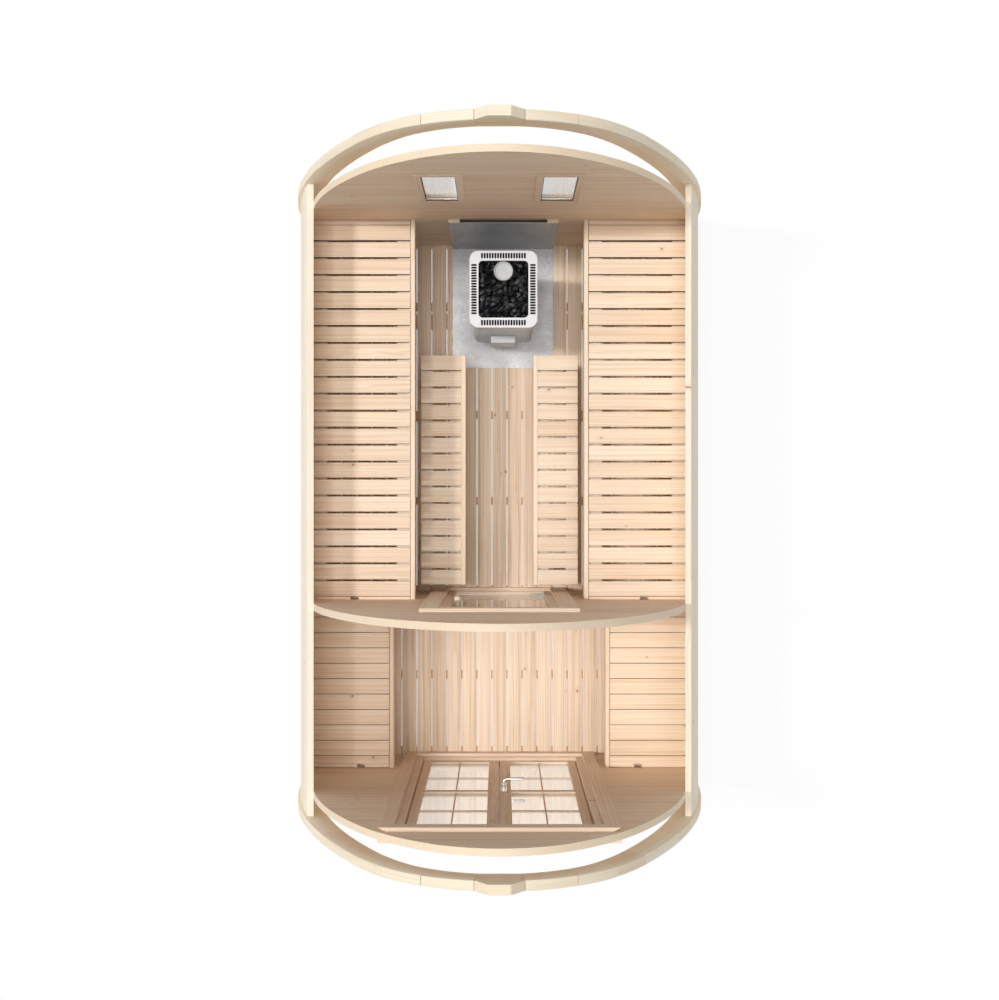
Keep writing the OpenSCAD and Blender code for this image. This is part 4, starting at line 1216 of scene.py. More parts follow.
def stone_heap() -> Workshop:
    """Builds the tree that heaps rough stones in a box, two layers deep, each turned and shaped by chance.

    Returns:
        The tree.
    """
    tree = Workshop(
        "stone_heap",
        {
            float: "Width, Length, Stone, Drop", int: "Columns, Rows, Seed", Vector: "Centre",
            Material: "Finish"})
    stone = tree.ask("Stone")
    layers = []
    for layer in (0.0, 1.0):
        jitter = tree.scaled(tree.scatter(even(-1.0), (1.0, 1.0, 0.4), layer), tree.times(stone, 0.3))
        down = tree.join(0.0, 0.0, tree.times(tree.ask("Drop"), -layer))
        layers.append(
            tree.step("SetPosition", {"Geometry": tree.grid(), "Offset": tree.vector("ADD", jitter, down)}))
    pebble = tree.step("MeshIcoSphere", {"Radius": tree.times(stone, 0.55), "Subdivisions": 1})
    heaped = tree.step(
        "InstanceOnPoints",
        {
            "Points": tree.joined(*layers), "Instance": pebble,
            "Rotation": tree.scatter(ORIGIN, even(FULL_TURN), 5.0),
            "Scale": tree.scatter((0.8, 0.6, 0.5), (1.6, 1.15, 0.95), 9.0)})
    real = tree.step("RealizeInstances", {"Geometry": heaped})
    rough = tree.add(
        "ShaderNodeTexNoise", {"Vector": tree.spot(), "Scale": 34.0, "Detail": 2.0}).outputs["Fac"]
    push = tree.times(tree.minus(rough, 0.5), tree.times(stone, 0.75))
    chipped = tree.step(
        "SetPosition", {"Geometry": real, "Offset": tree.scaled(tree.step("InputNormal"), push)})
    faceted = tree.step("SetShadeSmooth", {"Geometry": chipped, "Shade Smooth": False})
    placed = tree.step("Transform", {"Geometry": faceted, "Translation": tree.ask("Centre")})
    tree.close(placed, tree.ask("Finish"))
    return tree


def slotted_rim() -> Workshop:
    """Builds the tree for the heater's top: a rounded ring with rows of slots through it, whose walls take
    painted shade.

    Returns:
        The tree.
    """
    tree = Workshop(
        "slotted_rim",
        {
            float: "Width, Length, Corner, Hole Width, Hole Length, Hole Corner, Height, "
                   "Slot Length, Slot Width, Slot Pitch",
            int: "Slots Front, Slots Side", Vector: "Base", Material: "Finish, Slot Finish"})
    outlines = [
        tree.section(*(tree.ask(hole + side) for side in ("Width", "Length", "Corner")), 8)
        for hole in ("", "Hole ")]
    width, pitch = tree.ask("Slot Width"), tree.ask("Slot Pitch")
    slot = tree.section(width, tree.ask("Slot Length"), tree.times(width, 0.45))
    for side in (-1.0, 1.0):
        for count, turned in ((tree.ask("Slots Front"), False), (tree.ask("Slots Side"), True)):
            reach = tree.times(tree.minus(count, 1.0), tree.times(pitch, -0.5))
            size = "Width" if turned else "Length"
            away = tree.times(tree.plus(tree.ask(size), tree.ask(f"Hole {size}")), side * 0.25)
            start = tree.join(away, reach, 0.0) if turned else tree.join(reach, away, 0.0)
            step = tree.join(0.0, pitch, 0.0) if turned else tree.join(pitch, 0.0, 0.0)
            row = tree.step("MeshLine", {"Count": count, "Start Location": start, "Offset": step})
            outlines.append(
                tree.step(
                    "InstanceOnPoints",
                    {"Points": row, "Instance": slot, "Rotation": (0.0, 0.0, QUARTER * turned)}))
    flat = tree.step("RealizeInstances", {"Geometry": tree.joined(*outlines)})
    sheet = tree.step("FillCurve", {"Curve": flat})
    raised = tree.step(
        "ExtrudeMesh", {"Mesh": sheet, "Offset Scale": tree.ask("Height"), "Individual": False})
    both = tree.joined(raised, tree.step("FlipFaces", {"Mesh": sheet}))
    welded = tree.step("MergeByDistance", {"Geometry": both, "Distance": RIM_WELD})
    coated = tree.step("SetMaterial", {"Geometry": welded, "Material": tree.ask("Finish")})
    spot = tree.parts(tree.spot())
    _, _, up = tree.parts(tree.step("InputNormal"))
    upright = tree.math("LESS_THAN", tree.math("ABSOLUTE", up), 0.5)

    def within(name: str, margin: float) -> Socket:
        """Tells where a place lies inside the named outline, drawn in by a margin.

        Args:
            name: what the names of the outline's inputs start with.
            margin: metres by which the outline is drawn in.

        Returns:
            1 inside and 0 outside.
        """
        inside = [
            tree.math(
                "LESS_THAN", tree.math("ABSOLUTE", place),
                tree.minus(tree.times(tree.ask(name + side), 0.5), margin))
            for place, side in zip(spot, ("Width", "Length"))]
        return tree.times(*inside)

    # painted shade: the upright walls inside the slots are marked for the near-black finish
    slots = tree.minus(within("", 3 * MM), within("Hole ", -3 * MM))
    marked = tree.mark(coated, tree.times(upright, slots))
    placed = tree.step("Transform", {"Geometry": marked, "Translation": tree.ask("Base")})
    tree.close(placed, tree.ask("Slot Finish"), tree.named(PAINTED_SHADE_FACES, "BOOLEAN"))
    return tree


@dataclass
class Jigs:
    """The pod's Geometry Nodes trees, each built once."""

    row: Workshop = field(default_factory=board_row)
    screws: Workshop = field(default_factory=screw_rows)
    bent: Workshop = field(default_factory=bent_boards)
    siding: Workshop = field(default_factory=siding_boards)
    stones: Workshop = field(default_factory=stone_heap)
    rim: Workshop = field(default_factory=slotted_rim)


@dataclass
class Shop:
    """What every sub-assembly works with: the finishes and the trees."""

    palette: Palette = field(default_factory=Palette)
    jigs: Jigs = field(default_factory=Jigs)

    def coat(self, node: str, finish: str) -> None:
        """Gives a CAD node its finish; its mesh stays as it is.

        Args:
            node: the CAD node's name.
            finish: the finish's name in the palette.
        """
        material = self.palette.get(finish)
        mesh = frame["nodes"][node].data
        mesh.materials.clear()
        mesh.materials.append(material)
        log.info("%s: finished in %s", node, material.name)

    def hand_in(self, piece: Piece, finish: str, slot: str, *nodes: str, body: str = "pod") -> None:
        """Finishes a piece and hands it to the frame.

        Args:
            piece: what was gathered.
            finish: the finish's name in the palette.
            slot: the material slot.
            nodes: the CAD nodes that it stands for.
            body: the body that it moves with.
        """
        dressed(piece.finish(self.palette.get(finish)), body, slot, *nodes)

    def timbers(self, name: str, node: str, finish: str, slot: str, ease: float, seed: int) -> None:
        """Makes one piece of a node's boards, with eased edges and a grain for each.

        Args:
            name: the piece's name.
            node: the CAD node whose solids are its boards.
            finish: the finish's name in the palette.
            slot: the material slot.
            ease: the rounding of the boards' edges.
            seed: sets where each grain begins.
        """
        piece = Piece(name, seed)
        for solid in solids_of(node):
            piece.board(solid, ease)
        self.hand_in(piece, finish, slot, node)

    def screw(
            self, name: str, body: str, centre: Point, rows: tuple[int, int], spread: Pair, turn: float,
            radius: float) -> None:
        """Drives a grid of screws into an upright face.

        Args:
            name: the piece's name.
            body: the body that it moves with.
            centre: the middle of the grid, on the face.
            rows: screws across and along.
            spread: metres between the outer screws across and along.
            turn: the grid's turn about X, which points its heads out of the face.
            radius: the heads' radius.
        """
        values = {
            "Columns": rows[0], "Rows": rows[1], "Width": spread[0], "Length": spread[1], "Radius": radius,
            "Turn": (turn, 0.0, 0.0), "Centre": centre, "Finish": self.palette.get("screws"),
            "Recess": self.palette.get("recess")}
        dressed(self.jigs.screws.make(name, values), body, "chrome_fittings")

    def row(
            self, name: str, slot: str, finish: str, node: str, ease: float, seed: int,
            swell: float = 0.0) -> None:
        """Lays a row of equal boards where a CAD node has them.

        Args:
            name: the piece's name.
            slot: the material slot.
            finish: the finish's name in the palette.
            node: the CAD node whose boards they stand for.
            ease: the rounding of the boards' long edges.
            seed: sets each board's grain.
            swell: how much wider the damp boards are than dry ones.
        """
        boxes = boxes_of(node)
        across = 0 if boxes[1].low.x - boxes[0].low.x > MM else 1
        boxes.sort(key=lambda box: box.low[across])
        size = boxes[1].size
        whole, cut = [], []
        for box in boxes:
            (whole if abs(box.size[across] - size[across]) < MM else cut).append(box)
        pitch = (whole[-1].low[across] - whole[0].low[across]) / (len(whole) - 1)
        turned = across == 0
        if cut:
            narrow = Piece(f"{name}_cut", seed)
            grown = Vector((swell / 2 * turned, swell / 2 * (not turned), 0.0))
            for box in cut:
                narrow.board(Box(box.low - grown, box.high + grown).solid(), ease)
            self.hand_in(narrow, finish, slot, node)
        values = {
            "Length": size[1 - across], "Width": size[across] + swell, "Thickness": size.z, "Ease": ease,
            "Count": len(whole), "Pitch": -pitch if turned else pitch, "Turn": (0.0, 0.0, QUARTER * turned),
            "Start": whole[0].middle[:], "Seed": seed, "Finish": self.palette.get(finish)}
        dressed(self.jigs.row.make(name, values), "pod", slot, node)


# ---------------------------------------------------------------- the pod's sub-assemblies


@dataclass
class Base:
    """The skids and joists under the pod, and the floors of its two rooms."""

    ease: float = 3 * MM
    floor_ease: float = 0.3 * MM
    swell: float = 2 * MM

    def build(self, shop: Shop) -> None:
        """Makes the sawn timbers and lays both floors.

        Args:
            shop: the finishes and the trees.
        """
        shop.timbers("skid_timbers", "skids", "base", "base_timber", self.ease, 11)
        shop.timbers("joist_timbers", "floor_joists", "base", "base_timber", self.ease, 12)
        for seed, room in ((21, "hot_room"), (22, "changing_room")):
            shop.row(
                f"{room}_boards", "floor_boards", "floor", f"{room}_floor", self.floor_ease, seed, self.swell)


@dataclass
class HoopLine:
    """The pod's outline: three arcs that run into each other, then straight down to the ground."""

    top: float = 2.613
    radii: Point = (0.725, 1.440, 3.958)
    bends: Pair = (50.5, 10.5)

    def centres(self) -> list[Pair]:
        """Returns the X and Z of the three arcs' middles.

        Returns:
            The middles, from the crown down.
        """
        middles = [(0.0, self.top - self.radii[0])]
        angle = 0.0
        for bend, radius, following in zip(self.bends, self.radii, self.radii[1:]):
            angle += math.radians(bend)
            x, z = middles[-1]
            middles.append(
                (x + (radius - following) * math.sin(angle), z + (radius - following) * math.cos(angle)))
        return middles

    def point(self, arc: int, inward: float, degrees: float) -> Pair:
        """Returns the X and Z of a point on an arc of the outline, or inside it.

        Args:
            arc: the arc's number, from the crown down.
            inward: metres inside the outline.
            degrees: the angle from straight up.

        Returns:
            The X and Z.
        """
        x, z = self.centres()[arc]
        radius = self.radii[arc] - inward
        return x + radius * math.sin(math.radians(degrees)), z + radius * math.cos(math.radians(degrees))


@dataclass
class Path:
    """Lines drawn flat, with X across and Y up, for the trees that follow a path."""

    name: str
    points: list[Point] = field(default_factory=list)
    edges: list[tuple[int, int]] = field(default_factory=list)
    pivots: list[Point] = field(default_factory=list)
    shifts: list[Point] = field(default_factory=list)

    def line(self, places: Sequence[Pair], pivot: Point = ORIGIN, shift: Point = ORIGIN) -> None:
        """Adds one line through the places, with the arc's middle and radius and the start of its grain.

        Args:
            places: the points of the line.
            pivot: the arc's middle and radius.
            shift: the start of the grain.
        """
        start = len(self.points)
        self.points += [(x, z, 0.0) for x, z in places]
        self.edges += [(start + i, start + i + 1) for i in range(len(places) - 1)]
        self.pivots += [pivot] * len(places)
        self.shifts += [shift] * len(places)

    def mesh(self) -> bpy.types.Mesh:
        """Returns the lines as a mesh that keeps the middles and the starts.

        Returns:
            The mesh.
        """
        mesh = bpy.data.meshes.new(self.name)
        mesh.from_pydata(self.points, self.edges, [])
        for name, values in ((PIVOT, self.pivots), (SHIFT, self.shifts)):
            layer = mesh.attributes.new(name, "FLOAT_VECTOR", "POINT")
            layer.data.foreach_set("vector", [part for value in values for part in value])
        return mesh


@dataclass
class SideWalls:
    """The two curved side walls, of boards laid along the pod and cut level at the top."""

    line: HoopLine = field(default_factory=HoopLine)
    overhang: float = 0.017
    thickness: float = 0.031
    width: float = 0.096
    joint: float = 0.2 * MM
    ease: float = 2.5 * MM

    def lean(self, top: float) -> float:
        """Returns how far a wall leans inwards for each metre upwards at its top."""
        return math.tan(math.asin((top - self.line.centres()[2][1]) / (self.line.radii[2] - self.overhang)))

    def path(self, side: int, top: float) -> bpy.types.Mesh:
        """Returns the line up the middle of a wall, with a point at the middle of each board.

        Args:
            side: -1 on the left and 1 on the right.
            top: the height of the wall's cut top.

        Returns:
            The line as a mesh.
        """
        inward = self.overhang + self.thickness / 2
        radius = self.line.radii[2] - inward
        foot = self.line.centres()[2][1]
        rise = math.asin((top - foot) / radius) * radius
        places = []
        for number in range(-math.ceil(foot / self.width), math.ceil(rise / self.width)):
            along = (number + 0.5) * self.width
            if along < 0:
                places.append((side * self.line.point(2, inward, 90)[0], foot + along))
            else:
                x, z = self.line.point(2, inward, 90 - math.degrees(along / radius))
                places.append((side * x, z))
        path = Path("wall_path")
        path.line(places)
        return path.mesh()

    def build(self, shop: Shop) -> None:
        """Makes both walls.

        Args:
            shop: the finishes and the trees.
        """
        for side, name in ((-1, "left"), (1, "right")):
            node = f"{name}_side_wall"
            low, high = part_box(node)
            values = {
                "Length": high.y - low.y, "Width": self.width - self.joint, "Thickness": self.thickness,
                "Ease": self.ease, "Top": high.z, "Lean": self.lean(high.z), "Seed": 30 + side,
                "Finish": shop.palette.get("siding")}
            piece = shop.jigs.siding.make(f"{name}_wall_boards", values, self.path(side, high.z))
            dressed(piece, "pod", "wall_boards", node)


@dataclass
class Hoops:
    """The two end hoops: bent boards jointed end to end, with a block at the ridge."""

    line: HoopLine = field(default_factory=HoopLine)
    width: float = 0.125
    ridge_half: float = 0.115
    joint: float = 0.6 * MM
    crown_boards: int = 2
    flank_boards: int = 4
    ease: float = 2.5 * MM

    def spans(self) -> list[tuple[int, float, float]]:
        """Returns each board's arc and its two angles, from the ridge down.

        Returns:
            The arc's number and the first and last angle of each board.
        """
        start = math.degrees(math.asin(self.ridge_half / self.line.radii[0]))
        crown, flank = self.line.bends[0], sum(self.line.bends)
        step = (crown - start) / self.crown_boards
        spans = [(0, start + i * step, start + (i + 1) * step) for i in range(self.crown_boards)]
        spans.append((1, crown, flank))
        step = (90 - flank) / self.flank_boards
        return spans + [(2, flank + i * step, flank + (i + 1) * step) for i in range(self.flank_boards)]

    def path(self, seed: int) -> bpy.types.Mesh:
        """Returns the lines along the middle of every board of a hoop.

        Args:
            seed: sets where each board's grain begins.

        Returns:
            The lines as a mesh.
        """
        path = Path("hoop_path")
        chance = random.Random(seed)
        for side in (-1, 1):
            for arc, first, last in self.spans():
                radius = self.line.radii[arc] - self.width / 2
                opened = first + math.degrees(self.joint / radius)
                steps = max(4, math.ceil((last - opened) * radius / 2))
                places = [
                    self.line.point(arc, self.width / 2, opened + (last - opened) * i / steps)
                    for i in range(steps + 1)]
                if last == 90:
                    places.append((places[-1][0], 0.0))
                x, z = self.line.centres()[arc]
                shift = tuple(chance.uniform(0, GRAIN_SPREAD) for _ in range(3))
                path.line([(side * px, pz) for px, pz in places], (side * x, z, radius), shift)
        return path.mesh()

    def build(self, shop: Shop) -> None:
        """Makes both hoops and their ridge blocks.

        Args:
            shop: the finishes and the trees.
        """
        for name, seed in (("rear", 41), ("front", 47)):
            low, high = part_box(f"{name}_hoop")
            values = {
                "Width": self.width, "Thickness": high.y - low.y, "Ease": self.ease,
                "Middle": (low.y + high.y) / 2, "Finish": shop.palette.get("hoops")}
            piece = shop.jigs.bent.make(f"{name}_hoop_boards", values, self.path(seed))
            dressed(piece, "pod", "hoop_timber", f"{name}_hoop")
            shop.timbers(
                f"{name}_ridge_timber", f"{name}_ridge_block", "hoops", "hoop_timber", self.ease, seed + 1)


@dataclass
class EndWalls:
    """The rear wall with its two windows, the front wall round the double door, and the partition."""

    sash: float = 12 * MM
    gasket: float = 3 * MM
    ease: float = 1.5 * MM
    panels: tuple[str, ...] = (
        "rear_wall", "front_wall_left", "front_wall_right", "front_wall_head", "front_wall_sill",
        "partition_left", "partition_right", "partition_head", "partition_sill")

    def build(self, shop: Shop) -> None:
        """Finishes the walls and makes the windows.

        Args:
            shop: the finishes and the trees.
        """
        for panel in self.panels:
            # the partition's panels take the darker copy of the wall boards, which is painted shade
            shop.coat(panel, "inner" if panel.startswith("partition") else "boards")
        shop.timbers("window_trim_boards", "window_trims", "joinery", "joinery", self.ease, 51)
        sashes = Piece("window_sash_frames", 52)
        for outer in boxes_of("window_sashes"):
            for member in framed(outer.ends(0), outer.ends(2), self.sash, outer.ends(1)):
                sashes.board(member, self.ease)
        shop.hand_in(sashes, "joinery", "joinery", "window_sashes")
        shop.coat("window_panes", "windows")
        # black seals round the panes: real gaskets, drawn black all round also as painted shade for the
        # sash's shaded reveal
        seal = Piece("window_gaskets", 53)
        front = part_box("window_trims")[0].y
        for pane in boxes_of("window_panes"):
            for strip in framed(pane.ends(0), pane.ends(2), self.gasket, (front + self.gasket, pane.low.y)):
                seal.board(strip, 0.5 * MM)
        shop.hand_in(seal, "rubber", "joinery")


@dataclass
class DoorLeaf:
    """One leaf of the front door: stiles, rails, glazing bars and two panes."""

    side: str
    bar: float = 8 * MM
    bar_depth: float = 4 * MM
    bar_heights: Pair = (0.730, 1.615)
    seal: Point = (2.5 * MM, 2 * MM, 12 * MM)
    ease: float = 2 * MM

    def build(self, shop: Shop) -> None:
        """Makes the leaf's joinery and its seal, and finishes its glass and hinges.

        Args:
            shop: the finishes and the trees.
        """
        body = f"front_door_{self.side}"
        outer = box_of(f"{self.side}_leaf")
        panes = boxes_of(f"{self.side}_leaf_panes")
        left, right = panes[0].ends(0)
        piece = Piece(f"{self.side}_leaf_joinery", 60 + len(self.side))
        for stile in ((outer.low.x, left), (right, outer.high.x)):
            piece.board(block(stile, outer.ends(1), outer.ends(2)), self.ease)
        heights = (outer.low.z, *panes[0].ends(2), *panes[1].ends(2), outer.high.z)
        for rail in zip(heights[::2], heights[1::2]):
            piece.board(block((left, right), outer.ends(1), rail), self.ease)
        middle, half = (left + right) / 2, self.bar / 2
        for pane, height in zip(panes, self.bar_heights):
            for depth in (
                (pane.low.y - self.bar_depth, pane.low.y), (pane.high.y, pane.high.y + self.bar_depth)):
                piece.board(block((middle - half, middle + half), depth, pane.ends(2)), MM)
                piece.board(block(pane.ends(0), depth, (height - half, height + half)), MM)
        shop.hand_in(piece, "joinery", "joinery", f"{self.side}_leaf", body=body)
        reach, start, end = self.seal
        edge = (outer.low.x - reach, outer.low.x) if self.side == "right" else (
            outer.high.x, outer.high.x + reach)
        strip = Piece(f"{self.side}_leaf_seal", 66)
        strip.board(block(edge, (outer.low.y + start, outer.low.y + end), outer.ends(2)), 0.8 * MM)
        shop.hand_in(strip, "rubber", "joinery", body=body)
        shop.coat(f"{self.side}_leaf_panes", "panes")
        shop.coat(f"{self.side}_leaf_hinges", "chrome")


@dataclass
class LeverHandle:
    """The lever handle on both faces of the right leaf, on its round-ended plate."""

    plate: Point = (0.036, 0.008, 0.240)
    foot: float = 0.100
    height: float = 1.060
    radius: float = 0.009
    length: float = 0.118
    reach: float = 0.056
    bend: float = 0.016
    screw_inset: float = 0.016
    collar: tuple[Pair, ...] = ((0.0, 0.017), (0.004, 0.017), (0.006, 0.0155), (0.007, 0.012), (0.007, 0.0))

    def outline(self, x: float) -> list[Pair]:
        """Returns the plate's outline round a middle line.

        Args:
            x: the middle line of the plate.

        Returns:
            The X and Z of its corners.
        """
        half = self.plate[0] / 2
        low, high = self.height - self.foot + half, self.height - self.foot + self.plate[2] - half
        arc = [(half * math.cos(math.pi * i / 16), half * math.sin(math.pi * i / 16)) for i in range(17)]
        return [(x + out, high + up) for out, up in arc] + [(x - out, low - up) for out, up in arc]

    def lever(self, x: float, face: float, out: int) -> list[Vector]:
        """Returns the lever's middle line on one face, out of the plate, round its bend and along.

        Args:
            x: the middle of the plate.
            face: the Y of the leaf's face.
            out: 1 or -1, the way out of the face.

        Returns:
            The points of the line.
        """
        end = face + out * (self.reach - self.radius)
        path = [Vector((x, face, self.height)), Vector((x, end - out * self.bend, self.height))]
        for angle in (QUARTER * i / 8 for i in range(1, 9)):
            path.append(
                Vector(
                    (
                        x + self.bend * (1 - math.cos(angle)), end - out * self.bend * (1 - math.sin(angle)),
                        self.height)))
        return path + [Vector((x + self.length - self.radius, end, self.height))]

    def build(self, shop: Shop) -> None:
        """Makes the plates, necks and levers, and drives the plates' screws.

        Args:
            shop: the finishes and the trees.
        """
        leaf = box_of("right_leaf")
        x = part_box("right_leaf_handle")[0].x + self.plate[0] / 2
        piece = Piece("lever_handle")
        for face, out in ((leaf.high.y, 1), (leaf.low.y, -1)):
            front = face + out * self.plate[1]
            shape = self.outline(x)
            corners = [Vector((px, y, pz)) for y in (face, front) for px, pz in shape]
            count = len(shape)
            sides = [[i, (i + 1) % count, count + (i + 1) % count, count + i] for i in range(count)]
            piece.board(Solid(corners, [list(range(count)), list(range(count, 2 * count))] + sides), 1.5 * MM)
            piece.lathe(self.collar, Vector((x, front, self.height)), Vector((0, out, 0)))
            piece.tube(self.lever(x, face, out), self.radius)
        shop.hand_in(piece, "chrome", "chrome_fittings", "right_leaf_handle", body="front_door_right")
        middle = self.height - self.foot + self.plate[2] / 2
        spread = (0.0, self.plate[2] - 2 * self.screw_inset)
        for name, y, turn in (
            ("handle_screws_inside", leaf.high.y + self.plate[1], -QUARTER),
            ("handle_screws_outside", leaf.low.y - self.plate[1], QUARTER)):
            shop.screw(name, "front_door_right", (x, y, middle), (1, 2), spread, turn, 3.5 * MM)


@dataclass
class FrontDoor:
    """The double front door: frame, casings, both leaves and the handle."""

    leaves: tuple[DoorLeaf, DoorLeaf] = (DoorLeaf("left"), DoorLeaf("right"))
    handle: LeverHandle = field(default_factory=LeverHandle)
    ease: float = 2 * MM

    def build(self, shop: Shop) -> None:
        """Makes the door.

        Args:
            shop: the finishes and the trees.
        """
        shop.timbers("front_frame_timbers", "front_door_frame", "joinery", "joinery", self.ease, 71)
        shop.timbers("front_casing_boards", "front_door_casings", "joinery", "joinery", self.ease, 72)
        for leaf in self.leaves:
            leaf.build(shop)
        self.handle.build(shop)
        shop.coat("frame_hinges", "satin")


@dataclass
class SaunaDoor:
    """The glass door in the partition, with its frame, casings, clamps and turned knobs."""

    ease: float = 2 * MM
    knob_profile: tuple[Pair, ...] = (
        (0.0, 0.010), (0.003, 0.0105), (0.006, 0.0085), (0.013, 0.008), (0.0165, 0.0095), (0.019, 0.0125),
        (0.023, 0.0165), (0.028, 0.019), (0.034, 0.020), (0.041, 0.0192), (0.047, 0.0165), (0.0515, 0.012),
        (0.0545, 0.0065), (0.056, 0.0))

    def build(self, shop: Shop) -> None:
        """Makes the door.

        Args:
            shop: the finishes and the trees.
        """
        shop.timbers("sauna_frame_timbers", "sauna_door_frame", "joinery", "joinery", self.ease, 75)
        shop.timbers("sauna_casing_boards", "sauna_door_casings", "joinery", "joinery", self.ease, 76)
        shop.coat("sauna_door_glass", "smoked")
        shop.coat("sauna_door_clamps", "brushed")
        glass, knobs = box_of("sauna_door_glass"), box_of("sauna_door_knobs").middle
        piece = Piece("turned_knobs")
        for face, out in ((glass.high.y, 1), (glass.low.y, -1)):
            piece.lathe(self.knob_profile, Vector((knobs.x, face, knobs.z)), Vector((0, out, 0)))
        shop.hand_in(piece, "slats", "joinery", "sauna_door_knobs", body="sauna_door")


@dataclass
class Benches:
    """The benches of both rooms: slats, fascias and bearers, ledgers and legs."""

    ease: float = MM
    timber_ease: float = 2 * MM

    def porch(self, shop: Shop, side: str, seed: int) -> None:
        """Lays a changing room bench: whole slats, and the last one cut round its notch.

        Args:
            shop: the finishes and trees.
            side: left or right.
            seed: sets each slat's grain.
        """
        node = f"porch_bench_slats_{side}"
        *whole, last = sorted(solids_of(node), key=lambda solid: -solid.box.low.y)
        first, pitch = whole[0].box, whole[0].box.low.y - whole[1].box.low.y
        values = {
            "Length": first.size.x, "Width": first.size.y, "Thickness": first.size.z, "Ease": self.ease,
            "Count": len(whole), "Pitch": -pitch, "Turn": ORIGIN, "Start": first.middle[:], "Seed": seed,
            "Finish": shop.palette.get("slats")}
        dressed(shop.jigs.row.make(f"changing_bench_{side}", values), "pod", "bench_boards", node)
        cut = Piece(f"changing_bench_end_{side}", seed)
        cut.board(last, self.ease, (0, 1, 2))
        shop.hand_in(cut, "slats", "bench_boards", node)

    def build(self, shop: Shop) -> None:
        """Makes every bench.

        Args:
            shop: the finishes and the trees.
        """
        sides = ("left", "right")
        for seed, (level, side) in enumerate((level, side) for level in ("upper", "lower") for side in sides):
            shop.row(
                f"{level}_slats_{side}", "bench_boards", "slats", f"{level}_bench_slats_{side}", self.ease,
                81 + seed)
        for seed, side in enumerate(sides):
            self.porch(shop, side, 91 + seed)
        for seed, level in enumerate(("upper", "lower", "porch")):
            shop.timbers(
                f"{level}_rail_boards", f"{level}_bench_rails", "slats", "bench_boards", self.timber_ease,
                95 + seed)
        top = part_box("upper_bench_slats_left")[1].z - MM
        strips, ledgers = Piece("bench_end_strips", 98), Piece("bench_ledger_timbers", 99)
        for solid in solids_of("bench_ledgers"):
            (strips if solid.box.high.z > top else ledgers).board(solid, self.ease)
        shop.hand_in(strips, "slats", "wall_boards", "bench_ledgers")
        shop.hand_in(ledgers, "floor", "wall_boards", "bench_ledgers")
        shop.timbers("bench_leg_timbers", "bench_legs", "floor", "wall_boards", self.timber_ease, 100)


